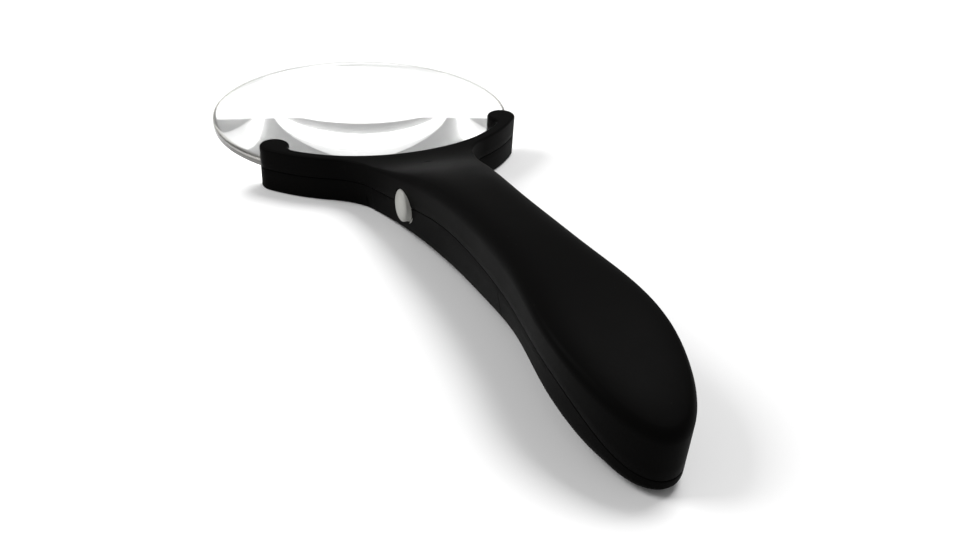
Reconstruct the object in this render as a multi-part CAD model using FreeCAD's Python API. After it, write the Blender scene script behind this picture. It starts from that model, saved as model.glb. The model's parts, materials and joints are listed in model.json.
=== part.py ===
"""Lighted rimless hand magnifier: a round lens held in a two-pronged fork on an arched handle.

Frame: X across the handle, Y along it towards the lens, Z up from the table it lies on.
The origin is the middle of the footprint, at table height. "Reach" is the distance behind the
lens centre, so a point at reach s lies at Y = LENS_Y - s. Millimetres throughout.
"""
import FreeCAD, Part
import math
import os

V = FreeCAD.Vector
UP = V(0, 0, 1)

# ---- driving dimensions ------------------------------------------------------------------
LENS_R = 55.0            # radius of the lens
LENS_Y = 86.6            # lens centre, ahead of the origin
LENS_EDGE = 2.8          # thickness of the lens at its edge
LENS_SAG = 5.5           # height of each dome above the edge
LENS_MID_Z = 7.2         # height of the lens's middle plane
SEAT_CLEAR = 0.08        # clearance between lens and shells

END_REACH = 229.0        # rear end of the handle
WIDEST_REACH = 193.0     # where the handle is widest
WIDEST_HALF = 16.4
WALL = 1.4               # shell wall thickness
DRAFT_H = 30.0           # height over which the side walls lean in
HANDLE_DRAFT = 4.0       # how much the handle wall leans in over that height
ARM_DRAFT = 0.8          # the same for the prongs
REAR_DRAFT = 2.0         # the same for the rear end
CAVITY_FRONT = 58.4      # front wall of the hollow
FLANK_START = 66.0       # where the neck's own width takes over from the prongs

ARM_INNER_R = 55.9       # inner edge of the fork, about the lens centre
ARM_OUTER_R = 60.2       # outer edge of the fork at the draft height
ARM_ROOT_DEG = 27.0      # where the prong's outer edge leaves its circle for the neck
LOBE_DEG = 50.5          # where the rounded prong ends sit
LOBE_R = 5.0
PARTING_GAP = 0.15       # joint between the cover and its neighbours

# profiles along the handle: (reach, value)
HALF_WIDTHS = [(60, 23.3), (71, 19.0), (86, 16.0), (104, 13.5), (122, 12.2), (143, 12.3),
               (165, 13.9), (180, 15.6)]
TOP_LINE = [(20, 15.5), (36, 15.5), (50, 15.5), (60, 16.1), (70, 18.0), (80, 21.1), (90, 24.3),
            (100, 26.6), (121, 29.4), (143, 31.2), (165, 31.9), (182, 31.2), (198, 29.0),
            (214, 25.2), (229, 20.0), (240, 15.5)]
BOTTOM_LINE = [(20, -0.4), (40, -0.4), (58, -0.3), (74, 0.5), (92, 1.4), (110, 2.4), (132, 4.1),
               (154, 6.1), (172, 7.0), (190, 5.7), (204, 2.8), (216, 0.3), (229, -0.8), (240, -1.0)]
PARTING_LINE = [(20, 8.0), (50, 8.0), (66, 8.8), (85, 11.3), (105, 15.1), (128, 16.9),
                (151, 17.6), (172, 17.6), (186, 17.0), (198, 14.6), (208, 10.6), (218, 6.2),
                (229, 3.6), (240, 3.0)]
TOP_CROWN = 2.4          # how far the top face falls from its middle to the soft edge
BOTTOM_CROWN = 1.8

COVER_JOINT_TOP = (151.5, 18.0)     # slanted joint between front lower shell and cover
COVER_JOINT_BOTTOM = (155.2, 3.0)

BUTTON_REACH = 85.0
BUTTON_Z = 11.2
BUTTON_HALF_LENGTH = 4.8            # along the handle
BUTTON_HALF_HEIGHT = 5.4
BUTTON_APEX_X = -15.7
BUTTON_TRAVEL = 0.9

CELL_R = 5.25
CELL_BODY = 43.5
CELL_NUB = 1.0
CELL_Z = 16.3
CELL_SIDE = 5.3                     # half the distance between the two cells
CELL_FRONT = 168.0                  # reach of the front faces of the cells

LED_R = 1.5
LED_SIDES = (-8.0, 0.0, 8.0)
LED_REACH = 60.8
LED_LEAN_DEG = 35.0

FLANGE_X = -11.6                    # back face of the button's retaining flange
PLUNGER_X = -8.2                    # where the button's stem meets the switch plunger
SWITCH_X = -6.6                     # front face of the switch
SWITCH_BOARD_X = -2.2

FORK_SCREW_R = 56.6                 # screws outside the lens edge, in the prong ends
NECK_SCREW_REACH = 73.0
HANDLE_SCREW_REACH = 138.0
TRAY_SCREW_REACH = 159.5
HEAD_R = {"fork": 1.5, "neck": 2.1, "handle": 2.1}
SHANK_R = {"fork": 0.9, "neck": 1.2, "handle": 1.2}
PILOT_R = {"fork": 0.9, "neck": 1.2, "handle": 1.2}

TRAY_FRONT = 163.0
TRAY_BACK = 216.5
TRAY_WALL = 1.5                     # thickness of the tray's end walls
TRAY_TOP = 6.6                      # height of the tray's top above the cells' axes
PLATE = 0.3                         # thickness of the contact plates
SPRING_R = 3.0
SPRING_WIRE_R = 0.28
SPRING_TURNS = 3.25
SPRING_STEPS = 8                    # bends in each turn of the wire
SPRING_BEND = 2.6                   # radius of each bend

TONGUE_REACHES = (156.3, 160.0)     # snap tongues of the cover
TONGUE_DEPTH = 1.3                  # from the hollow's wall to the tongue's inner face
TONGUE_CLEAR = 0.35
TONGUE_FOOT_Z = 15.8
TONGUE_TOP_Z = 20.2
RIDGE_REACHES = (93.5, 107.5)       # grip ridges under the neck
RIDGE_R = 3.0
RIDGE_RISE = 0.9


# ---- small helpers -----------------------------------------------------------------------
def at(reach, side, z):
    """Point at a reach behind the lens centre, an X position and a height."""
    return V(side, LENS_Y - reach, z)


def profile(stations):
    """Smooth function of reach through the stations."""
    curve = Part.BSplineCurve()
    curve.interpolate(Points=[V(s, value, 0) for s, value in stations],
                      Parameters=[float(s) for s, _ in stations])
    return lambda s: curve.value(s).y


top_line = profile(TOP_LINE)
bottom_line = profile(BOTTOM_LINE)
parting_line = profile(PARTING_LINE)
side_line = profile([(52, 29.0)] + HALF_WIDTHS + [(WIDEST_REACH, WIDEST_HALF), (206, 15.6)])


def half_width(s):
    """Half width of the handle at the draft height, held at its widest behind that place."""
    return side_line(min(max(s, 52.0), WIDEST_REACH))


def ramp(value, low, high):
    """Smooth step from 0 at low to 1 at high."""
    u = min(max((value - low) / (high - low), 0.0), 1.0)
    return u * u * (3.0 - 2.0 * u)


def box(reach_a, reach_b, side_a, side_b, z_a, z_b):
    """Box between two reaches, two X positions and two heights."""
    return Part.makeBox(side_b - side_a, reach_b - reach_a, z_b - z_a,
                        V(side_a, LENS_Y - reach_b, z_a))


def rod(start, end, radius):
    """Cylinder from one point to another."""
    return Part.makeCylinder(radius, end.distanceToPoint(start), start, end - start)


def fuse(shapes):
    """One solid from overlapping shapes."""
    return shapes[0].fuse(shapes[1:]).removeSplitter()


def turned(form, centre):
    """Solid turned about an upright axis from (radius, height) points."""
    points = [V(r, 0, h) for r, h in form]
    face = Part.Face(Part.makePolygon(points + points[:1]))
    solid = face.revolve(V(0, 0, 0), UP, 360)
    solid.translate(centre)
    return solid


def bent_tube(points, radius, bend):
    """Tube along straight runs joined by tangent arcs."""
    edges = []
    start = points[0]
    for before, corner, after in zip(points, points[1:], points[2:]):
        back = (before - corner).normalize()
        ahead = (after - corner).normalize()
        half_turn = (math.pi - back.getAngle(ahead)) / 2
        cut = bend * math.tan(half_turn)
        middle = (back + ahead).normalize()
        enter = corner + back * cut
        leave = corner + ahead * cut
        apex = corner + middle * (bend / math.cos(half_turn) - bend)
        edges.append(Part.LineSegment(start, enter).toShape())
        edges.append(Part.Arc(enter, apex, leave).toShape())
        start = leave
    edges.append(Part.LineSegment(start, points[-1]).toShape())
    ring = Part.Wire(Part.Circle(points[0], points[1] - points[0], radius).toShape())
    return Part.Wire(edges).makePipeShell([ring], True, False)


# ---- outer form --------------------------------------------------------------------------
def around_lens(radius, degrees, z):
    """Point on a circle about the lens centre; 0 degrees points down the handle."""
    a = math.radians(degrees)
    return at(radius * math.cos(a), radius * math.sin(a), z)


def flank(z, inset, side, lead_in):
    """Side line of the handle, from its lead-in points back to its widest place."""
    lean = HANDLE_DRAFT * (DRAFT_H - z) / DRAFT_H + inset
    first = HALF_WIDTHS[0][0] if not lead_in else FLANK_START
    steps = 32
    points = list(lead_in)
    for k in range(steps + 1):
        s = first + (WIDEST_REACH - first) * k / steps
        points.append(at(s, side * (half_width(s) - lean), z))
    curve = Part.BSplineCurve()
    curve.interpolate(Points=points)
    return curve.toShape()


def rear_end(z, inset):
    """Rounded rear end of the handle, a half ellipse in plan."""
    lean = HANDLE_DRAFT * (DRAFT_H - z) / DRAFT_H + inset
    half = WIDEST_HALF - lean
    depth = END_REACH - REAR_DRAFT * (DRAFT_H - z) / DRAFT_H - inset - WIDEST_REACH
    turns = [math.pi * k / 16 for k in range(17)]
    points = [at(WIDEST_REACH + depth * math.sin(a), half * math.cos(a), z) for a in turns]
    curve = Part.BSplineCurve()
    curve.interpolate(Points=points)
    return curve.toShape()


def outline(z):
    """Plan outline of fork and handle at a height."""
    outer = ARM_OUTER_R - ARM_DRAFT * (DRAFT_H - z) / DRAFT_H
    middle = outer - LOBE_R
    # angle from the lobe's middle to where its circle meets the inner edge
    meet = (ARM_INNER_R ** 2 + middle ** 2 - LOBE_R ** 2) / (2 * ARM_INNER_R * middle)
    notch = LOBE_DEG - math.degrees(math.acos(meet))
    root = math.radians(ARM_ROOT_DEG)
    tip = math.radians(LOBE_DEG)

    def lobe_point(side, turn):
        """Point on the lobe's circle, turned from straight outwards towards the prong's end."""
        a = tip + math.radians(turn)
        s = middle * math.cos(tip) + LOBE_R * math.cos(a)
        t = middle * math.sin(tip) + LOBE_R * math.sin(a)
        return at(s, side * t, z)

    edges = [Part.Arc(around_lens(ARM_INNER_R, -notch, z), around_lens(ARM_INNER_R, 0, z),
                      around_lens(ARM_INNER_R, notch, z)).toShape()]
    for side in (1, -1):
        arm_root = around_lens(outer, side * ARM_ROOT_DEG, z)
        arm_middle = around_lens(outer, side * 0.5 * (ARM_ROOT_DEG + LOBE_DEG), z)
        edges.append(Part.Arc(around_lens(ARM_INNER_R, side * notch, z), lobe_point(side, 125),
                              lobe_point(side, 0)).toShape())
        edges.append(Part.Arc(lobe_point(side, 0), arm_middle, arm_root).toShape())
        along = V(-side * math.cos(root), -math.sin(root), 0)
        edges.append(flank(z, 0.0, side, [arm_root, arm_root + along * 0.8]))
    edges.append(rear_end(z, 0.0))
    return Part.Wire(Part.__sortEdges__(edges))


def cavity_outline(z, inset):
    """Plan outline of the hollow in neck and handle."""
    lean = HANDLE_DRAFT * (DRAFT_H - z) / DRAFT_H + inset
    front, half = HALF_WIDTHS[0]
    corner = half - lean
    edges = [Part.Arc(at(front, -corner, z), at(CAVITY_FRONT, 0, z), at(front, corner, z)).toShape(),
             rear_end(z, inset)]
    for side in (1, -1):
        edges.append(flank(z, inset, side, []))
    return Part.Wire(Part.__sortEdges__(edges))


def skin(line, crown, shift, direction):
    """Crowned face along a profile line, closed into a solid that reaches away from the body."""
    rows = []
    for k in range(45):
        s = 20.0 + 5.0 * k
        spread = 54.0 + (half_width(s) + 3.0 - 54.0) * ramp(s, 50.0, 76.0)
        fall = crown * ramp(s, 62.0, 100.0)
        behind = max(s - WIDEST_REACH, 0.0) / (END_REACH - WIDEST_REACH)
        row = []
        for j in range(-8, 9):
            side = spread * j / 8.0
            out = min(math.hypot(side / half_width(s), behind), 1.3)
            row.append(at(s, side, line(min(s, 240.0)) + shift - direction * fall * out ** 4))
        rows.append(row)
    surface = Part.BSplineSurface()
    surface.interpolate(rows)
    return surface.toShape().extrude(V(0, 0, direction * 60.0))


def between_skins(blank, inset):
    """Part of a blank between the crowned top and the bottom, moved inwards by an inset."""
    blank = blank.cut(skin(top_line, TOP_CROWN, -inset, 1))
    return blank.cut(skin(bottom_line, BOTTOM_CROWN, inset, -1)).Solids[0]


def body():
    """Whole outer form of fork and handle, before it is split into shells."""
    return between_skins(Part.makeLoft([outline(0.0), outline(38.0)], True, True), 0.0)


def cavity(inset):
    """Hollow of neck and handle, a wall's thickness inside the outer form."""
    blank = Part.makeLoft([cavity_outline(-5.0, inset), cavity_outline(38.0, inset)], True, True)
    return between_skins(blank, inset)


def below_parting(shift):
    """Everything under the parting surface, raised or lowered by a shift."""
    points = [at(s, 0, parting_line(s) + shift) for s in range(20, 241, 5)]
    curve = Part.BSplineCurve()
    curve.interpolate(Points=points)
    corners = [points[-1], at(240, 0, -20), at(20, 0, -20), points[0]]
    lines = [Part.LineSegment(p, q).toShape() for p, q in zip(corners, corners[1:])]
    face = Part.Face(Part.Wire([curve.toShape()] + lines))
    face.translate(V(-80, 0, 0))
    return face.extrude(V(160, 0, 0))


def behind_joint(shift):
    """Everything behind the slanted joint, moved back by a shift."""
    (top_s, top_z), (low_s, low_z) = COVER_JOINT_TOP, COVER_JOINT_BOTTOM
    slope = (top_s - low_s) / (top_z - low_z)
    ends = [at(low_s + slope * (z - low_z) + shift, -80, z) for z in (-30.0, 60.0)]
    corners = [ends[0], ends[1], at(300, -80, 60.0), at(300, -80, -30.0), ends[0]]
    return Part.Face(Part.makePolygon(corners)).extrude(V(160, 0, 0))


# ---- lens and its fixing -----------------------------------------------------------------
def lens_form(clear=0.0):
    """Biconvex disc: two spherical faces and a plain edge."""
    radius = LENS_R + clear
    half = LENS_EDGE / 2 + clear
    sphere_r = (LENS_R ** 2 + LENS_SAG ** 2) / (2 * LENS_SAG)
    rim_drop = LENS_SAG - sphere_r + math.sqrt(sphere_r ** 2 - radius ** 2)
    top = Part.Arc(V(radius, 0, half + rim_drop),
                   V(radius / 2, 0, half + LENS_SAG - sphere_r + math.sqrt(sphere_r ** 2 - radius ** 2 / 4)),
                   V(0, 0, half + LENS_SAG))
    low = Part.Arc(V(0, 0, -half - LENS_SAG),
                   V(radius / 2, 0, -half - LENS_SAG + sphere_r - math.sqrt(sphere_r ** 2 - radius ** 2 / 4)),
                   V(radius, 0, -half - rim_drop))
    edge = Part.LineSegment(V(radius, 0, -half - rim_drop), V(radius, 0, half + rim_drop))
    axis = Part.LineSegment(V(0, 0, half + LENS_SAG), V(0, 0, -half - LENS_SAG))
    face = Part.Face(Part.Wire([axis.toShape(), low.toShape(), edge.toShape(), top.toShape()]))
    solid = face.revolve(V(0, 0, 0), UP, 360)
    solid.translate(at(0, 0, LENS_MID_Z))
    return solid


def lens():
    """The lens, its rim edges just broken."""
    solid = lens_form()
    rims = [e for e in solid.Edges if abs(e.BoundBox.XMax - LENS_R) < 0.01 and e.BoundBox.ZLength < 0.01]
    return solid.makeChamfer(0.25, rims)


def ring_sector(inner, outer, z_low, z_high, degrees):
    """Strip of a ring about the lens centre, within some degrees of the handle's line."""
    ring = Part.makeCylinder(outer, z_high - z_low).cut(Part.makeCylinder(inner, z_high - z_low))
    ring.translate(at(0, 0, z_low))
    reach = 2 * outer
    a = math.radians(degrees)
    wedge = [at(0, 0, z_low), at(reach * math.cos(a), reach * math.sin(a), z_low),
             at(2 * reach, 0, z_low), at(reach * math.cos(a), -reach * math.sin(a), z_low),
             at(0, 0, z_low)]
    return ring.common(Part.Face(Part.makePolygon(wedge)).extrude(V(0, 0, z_high - z_low)))


def lens_gasket():
    """Soft strip between the lens edge and the fork's inner wall."""
    return ring_sector(LENS_R + 0.05, ARM_INNER_R - 0.02, LENS_MID_Z - 1.3, LENS_MID_Z + 1.3, 43.0)


# ---- screws ------------------------------------------------------------------------------
def screw_places():
    """Name, axis point and heights (head, thread end) of every shell screw."""
    places = []
    for side in (1, -1):
        places.append(("fork", around_lens(FORK_SCREW_R, side * LOBE_DEG, 0), 2.4, 13.0))
    places.append(("neck", at(NECK_SCREW_REACH, 0, 0), 4.0, 14.0))
    places.append(("handle", at(HANDLE_SCREW_REACH, 0, 0), 8.2, 24.0))
    return places


def screw(place, head_z, end_z, head_r, shank_r):
    """Pan-head screw pointing up, with a cross recess in its head."""
    head_h = 0.75 * head_r
    form = [(0, 0), (head_r * 0.8, 0), (head_r, 0.3 * head_h), (head_r, head_h), (shank_r, head_h),
            (shank_r, end_z - head_z - shank_r), (0.2, end_z - head_z), (0, end_z - head_z)]
    solid = turned(form, V(place.x, place.y, head_z))
    slot = 0.22 * head_r
    for long_x, long_y in ((0.6 * head_r, slot), (slot, 0.6 * head_r)):
        cross = Part.makeBox(2 * long_x, 2 * long_y, 0.5 * head_h,
                             V(place.x - long_x, place.y - long_y, head_z))
        solid = solid.cut(cross)
    return solid


def screws(kind, head_r, shank_r):
    """All screws of one kind, as separate solids in one compound."""
    found = [screw(p, h, e, head_r, shank_r) for k, p, h, e in screw_places() if k == kind]
    return found[0] if len(found) == 1 else Part.makeCompound(found)


# ---- light -------------------------------------------------------------------------------
def led_axis():
    """Direction of the light, forward and down, from the LEDs to the page."""
    a = math.radians(LED_LEAN_DEG)
    return V(0, math.sin(a), -math.cos(a))


def led_tip(side):
    """Where a LED's dome ends, just inside the underside of the neck."""
    return at(LED_REACH, side, 0.7)


def leds():
    """Three domed LEDs with their flanges."""
    solids = []
    for side in LED_SIDES:
        tip = led_tip(side)
        back = led_axis() * -1
        dome_centre = tip + back * LED_R
        base = tip + back * 5.0
        shapes = [Part.makeSphere(LED_R, dome_centre), rod(dome_centre, base, LED_R),
                  rod(tip + back * 4.2, base, LED_R + 0.3)]
        solids.append(fuse(shapes))
    return Part.makeCompound(solids)


def led_wells(radius):
    """Bores for the LEDs, from the hollow out through the underside."""
    start = led_axis() * -9.0
    return [rod(led_tip(side) + start, led_tip(side) + led_axis() * 4.0, radius) for side in LED_SIDES]


def tilted_plate(side_half, long_half, thick, distance):
    """Plate square to the light's axis, behind the LEDs."""
    plate = Part.makeBox(2 * side_half, 2 * long_half, thick, V(-side_half, -long_half, 0))
    back = led_axis() * -1
    plate.Placement = FreeCAD.Placement(led_tip(0) + back * distance, FreeCAD.Rotation(UP, back))
    return plate


def led_board():
    """Circuit strip that carries the LEDs."""
    return tilted_plate(11.0, 2.6, 0.8, 5.0)


# ---- switch ------------------------------------------------------------------------------
def oval_prism(half_long, half_high, x_low, x_high):
    """Oval prism along X, centred on the button."""
    ring = Part.Wire(Part.Ellipse(V(0, 0, 0), half_high, half_long).toShape())
    prism = Part.Face(ring).extrude(V(0, 0, x_high - x_low))
    prism.Placement = FreeCAD.Placement(at(BUTTON_REACH, x_low, BUTTON_Z),
                                        FreeCAD.Rotation(V(0, 0, -1), V(0, 1, 0), V(1, 0, 0), "ZYX"))
    return prism


def switch_button():
    """Oval push button: domed face, retaining flange and stem."""
    face_r = 16.0
    cap = oval_prism(BUTTON_HALF_LENGTH, BUTTON_HALF_HEIGHT, BUTTON_APEX_X - 0.5, FLANGE_X)
    dome = Part.makeSphere(face_r, at(BUTTON_REACH, BUTTON_APEX_X + face_r, BUTTON_Z))
    flange = oval_prism(BUTTON_HALF_LENGTH + 0.8, BUTTON_HALF_HEIGHT + 0.8, FLANGE_X - 0.9, FLANGE_X)
    stem = rod(at(BUTTON_REACH, FLANGE_X, BUTTON_Z), at(BUTTON_REACH, PLUNGER_X, BUTTON_Z), 1.6)
    return fuse([cap.common(dome), flange, stem])


def switch_plunger():
    """Plunger of the push switch, pressed by the button's stem."""
    return rod(at(BUTTON_REACH, PLUNGER_X, BUTTON_Z), at(BUTTON_REACH, SWITCH_X + 2.2, BUTTON_Z), 1.2)


def switch_body():
    """Push-on, push-off switch with a bore for its plunger."""
    case = box(BUTTON_REACH - 3.0, BUTTON_REACH + 3.0, SWITCH_X, SWITCH_BOARD_X, BUTTON_Z - 3.0, BUTTON_Z + 3.0)
    bore = rod(at(BUTTON_REACH, SWITCH_X - 1, BUTTON_Z),
               at(BUTTON_REACH, SWITCH_X + 2.2 + BUTTON_TRAVEL + 0.1, BUTTON_Z), 1.25)
    return case.cut(bore)


def switch_board():
    """Upright circuit board that the switch is soldered to."""
    return box(BUTTON_REACH - 6.0, BUTTON_REACH + 9.0, SWITCH_BOARD_X, SWITCH_BOARD_X + 1.2,
               BUTTON_Z - 5.0, BUTTON_Z + 5.0)


def led_resistor():
    """Series resistor on the switch board, body and two bent legs."""
    face = SWITCH_BOARD_X + 1.2
    low = at(BUTTON_REACH + 5.0, face, BUTTON_Z - 3.0)
    high = at(BUTTON_REACH + 5.0, face, BUTTON_Z + 3.0)
    out = V(1.2, 0, 0)
    wire = bent_tube([low, low + out, high + out, high], 0.25, 0.5)
    barrel = rod(low + out + V(0, 0, 1.4), high + out - V(0, 0, 1.4), 0.9)
    return fuse([wire, barrel])


# ---- battery -----------------------------------------------------------------------------
def cell(side):
    """One cylindrical cell; the two lie head to tail."""
    nose = -1 if side < 0 else 1
    front = at(CELL_FRONT, side, CELL_Z)
    back = at(CELL_FRONT + CELL_BODY, side, CELL_Z)
    ends = (front, back) if nose > 0 else (back, front)
    along = (ends[1] - ends[0]).normalize()
    can = rod(ends[0], ends[1], CELL_R)
    can = can.makeFillet(0.5, [e for e in can.Edges if e.Closed])
    nub = rod(ends[0] - along * CELL_NUB, ends[0] + along, 1.9)
    return fuse([can, nub])


def battery_tray():
    """Cradle over the two cells, with end walls that hold the contacts."""
    half = CELL_SIDE + CELL_R
    block = box(TRAY_FRONT, TRAY_BACK, -half, half, CELL_Z - 4.0, CELL_Z + TRAY_TOP)
    front, back = TRAY_FRONT + TRAY_WALL, TRAY_BACK - TRAY_WALL
    bore = CELL_R + 0.25
    channel = []
    for side in (-CELL_SIDE, CELL_SIDE):
        channel.append(rod(at(front, side, CELL_Z), at(back, side, CELL_Z), bore))
        channel.append(box(front, back, side - bore, side + bore, CELL_Z - 5.0, CELL_Z))
    channel.append(box(back - PLATE, back, -CELL_SIDE - 3.4, CELL_SIDE + 3.4, CELL_Z - 5.0, CELL_Z + 2.8))
    tab = box(TRAY_FRONT - 7.0, TRAY_FRONT, -4.0, 4.0, CELL_Z + 4.4, CELL_Z + TRAY_TOP)
    tray = fuse([block.cut(channel), tab]).cut(cylinder_up(TRAY_SCREW_REACH, 0, 1.1, 10, 30))
    return tray.common(cavity(WALL + 0.15))


def cylinder_up(reach, side, radius, z_low, z_high):
    """Upright cylinder at a place in plan."""
    return Part.makeCylinder(radius, z_high - z_low, at(reach, side, z_low))


def contact_plate(side):
    """Thin plate contact on the tray's front end wall."""
    reach = TRAY_FRONT + TRAY_WALL
    return box(reach, reach + PLATE, side - 3.4, side + 3.4, CELL_Z - 3.4, CELL_Z + 3.4)


def front_plate_contact():
    """Front contact with a bump that meets the right cell's nub."""
    bump = rod(at(TRAY_FRONT + TRAY_WALL, CELL_SIDE, CELL_Z), at(CELL_FRONT - CELL_NUB, CELL_SIDE, CELL_Z), 1.5)
    return fuse([contact_plate(CELL_SIDE), bump])


def link_plate():
    """Plate that joins both cells at the rear, with a bump for the left cell's nub."""
    back = TRAY_BACK - TRAY_WALL
    plate = box(back - PLATE, back, -CELL_SIDE - 3.2, CELL_SIDE + 3.2, CELL_Z - 2.6, CELL_Z + 2.6)
    bump = rod(at(back, -CELL_SIDE, CELL_Z),
               at(CELL_FRONT + CELL_BODY + CELL_NUB, -CELL_SIDE, CELL_Z), 1.5)
    return fuse([plate, bump])


def contact_spring(base_reach, tip_reach, side):
    """Coil spring that presses on a cell's flat end."""
    steps = round(SPRING_TURNS * SPRING_STEPS)
    points = []
    for k in range(steps + 1):
        turn = 2 * math.pi * k / SPRING_STEPS
        reach = base_reach + (tip_reach - base_reach) * k / steps
        points.append(at(reach, side + SPRING_R * math.cos(turn), CELL_Z + SPRING_R * math.sin(turn)))
    return bent_tube(points, SPRING_WIRE_R, SPRING_BEND)


# ---- shells ------------------------------------------------------------------------------
def upper_bosses(hollow):
    """Screw bosses of the upper shell, filling the hollow above the parting."""
    posts = [cylinder_up(NECK_SCREW_REACH, 0, 2.6, 8, 30), cylinder_up(HANDLE_SCREW_REACH, 0, 2.6, 8, 34),
             cylinder_up(TRAY_SCREW_REACH, 0, 2.4, CELL_Z + TRAY_TOP, 34)]
    return Part.makeCompound(posts).common(hollow)


def upper_shell(outer, hollow, seat):
    """Upper half of fork and handle."""
    shell = outer.cut(below_parting(0.0)).cut(hollow)
    shell = fuse([shell, upper_bosses(hollow).cut(below_parting(0.0))])
    for kind, place, head_z, end_z in screw_places():
        shell = shell.cut(Part.makeCylinder(PILOT_R[kind], end_z + 1.0, V(place.x, place.y, 0)))
    shell = shell.cut(cylinder_up(TRAY_SCREW_REACH, 0, 0.95, 10, 28.5))
    return shell.cut([seat, button_hole()])


def button_hole():
    """Oval hole for the button, with a recess for its flange behind the wall."""
    hole = oval_prism(BUTTON_HALF_LENGTH + 0.12, BUTTON_HALF_HEIGHT + 0.12, -25.0, FLANGE_X)
    recess = oval_prism(BUTTON_HALF_LENGTH + 1.1, BUTTON_HALF_HEIGHT + 1.1, FLANGE_X - 1.0, FLANGE_X + 4.0)
    return hole.fuse(recess)


def grip_ridges(outer):
    """Two cross ridges under the neck."""
    ridges = []
    for reach in RIDGE_REACHES:
        bar = rod(at(reach, -30, bottom_line(reach) + RIDGE_R - RIDGE_RISE),
                  at(reach, 30, bottom_line(reach) + RIDGE_R - RIDGE_RISE), RIDGE_R)
        ridges.append(bar)
    band = outer.copy()
    band.translate(V(0, 0, -RIDGE_RISE))
    return Part.makeCompound(ridges).common(band)


def front_lower_shell(outer, hollow, seat):
    """Lower half of fork and neck, up to the slanted joint."""
    solid = fuse([outer.common(below_parting(0.0)), grip_ridges(outer)])
    shell = solid.cut(behind_joint(0.0)).cut(hollow)
    posts = [cylinder_up(NECK_SCREW_REACH, 0, 3.2, 0.5, 9.4), cylinder_up(HANDLE_SCREW_REACH, 0, 3.2, 3.5, 15.5)]
    shell = fuse([shell, Part.makeCompound(posts).common(solid)])
    block = box(LED_REACH - 2.4, LED_REACH + 6.5, -11.5, 11.5, 0.5, 4.6).common(hollow)
    shell = fuse([shell, block.cut(tilted_plate(12.0, 5.0, 12.0, 4.0))])
    for kind, place, head_z, end_z in screw_places():
        shell = shell.cut(Part.makeCylinder(HEAD_R[kind] + 0.2, head_z + 0.75 * HEAD_R[kind] + 2.0,
                                            V(place.x, place.y, -2.0)))
        shell = shell.cut(Part.makeCylinder(SHANK_R[kind] + 0.1, end_z, V(place.x, place.y, 0)))
    return shell.cut(led_wells(LED_R + 0.08) + [seat, button_hole()])


def tongue_blank(side, z_low, z_high):
    """Box round one snap tongue, outside the tongue's inner face."""
    blank = box(*TONGUE_REACHES, *sorted((side * 6.0, side * 20.0)), z_low, z_high)
    return blank.cut(cavity(WALL + TONGUE_DEPTH))


def battery_cover(outer, hollow):
    """Rear lower shell with two snap tongues; it comes off downwards and a little backwards."""
    blank = outer.common(below_parting(-PARTING_GAP)).common(behind_joint(PARTING_GAP))
    feet = [tongue_blank(side, 9.0, TONGUE_FOOT_Z) for side in (1, -1)]
    shell = blank.cut(hollow.cut(feet))
    inside = cavity(WALL + TONGUE_CLEAR)
    tongues = [tongue_blank(side, TONGUE_FOOT_Z - 1.0, TONGUE_TOP_Z).common(inside) for side in (1, -1)]
    return fuse([shell] + tongues)


# ---- leads -------------------------------------------------------------------------------
def leads():
    """Insulated leads, from tray to switch board and on to the LED board."""
    board = SWITCH_BOARD_X + 1.2
    positive = [at(TRAY_FRONT - 0.4, 5.4, 19.0), at(TRAY_FRONT - 8.0, 5.4, 20.0), at(140.0, 6.0, 21.5),
                at(118.0, 5.0, 20.0), at(102.0, 3.6, 15.0), at(94.6, 2.6, 14.0), at(92.0, board + 0.6, 14.0)]
    negative = [at(TRAY_FRONT - 0.4, -5.4, 19.0), at(TRAY_FRONT - 8.0, -5.4, 20.0), at(140.0, -6.0, 21.5),
                at(118.0, -5.0, 20.0), at(104.0, -4.4, 13.0), at(94.4, -3.0, 9.0)]
    light = [at(78.6, board + 0.6, 12.0), at(74.0, 5.2, 11.5), at(69.0, 6.0, 9.0), at(66.0, 6.0, 7.0)]
    return {"positive_lead": bent_tube(positive, 0.55, 2.0),
            "negative_lead": bent_tube(negative, 0.55, 2.0),
            "led_lead": bent_tube(light, 0.55, 1.5)}


def build():
    """All nodes of the magnifier, by name."""
    outer = body()
    hollow = cavity(WALL)
    seat = lens_form(SEAT_CLEAR)
    nodes = {
        "lens": lens(),
        "lens_gasket": lens_gasket(),
        "upper_shell": upper_shell(outer, hollow, seat),
        "front_lower_shell": front_lower_shell(outer, hollow, seat),
        "battery_cover": battery_cover(outer, hollow),
        "switch_button": switch_button(),
        "switch_plunger": switch_plunger(),
        "switch_body": switch_body(),
        "switch_board": switch_board(),
        "led_resistor": led_resistor(),
        "leds": leds(),
        "led_board": led_board(),
        "battery_tray": battery_tray(),
        "cell_left": cell(-CELL_SIDE),
        "cell_right": cell(CELL_SIDE),
        "front_plate_contact": front_plate_contact(),
        "front_spring_contact": contact_plate(-CELL_SIDE),
        "front_spring": contact_spring(TRAY_FRONT + TRAY_WALL + PLATE, CELL_FRONT, -CELL_SIDE),
        "rear_link_plate": link_plate(),
        "rear_spring": contact_spring(TRAY_BACK - TRAY_WALL - PLATE, CELL_FRONT + CELL_BODY, CELL_SIDE),
        "fork_screws": screws("fork", HEAD_R["fork"], SHANK_R["fork"]),
        "neck_screw": screws("neck", HEAD_R["neck"], SHANK_R["neck"]),
        "handle_screw": screws("handle", HEAD_R["handle"], SHANK_R["handle"]),
        "tray_screw": screw(at(TRAY_SCREW_REACH, 0, 0), CELL_Z + 3.1, 27.0, 1.7, 0.95),
    }
    nodes.update(leads())
    return nodes


os.makedirs("parts", exist_ok=True)
for name, shape in build().items():
    shape.exportStep("parts/" + name + ".step")
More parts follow.
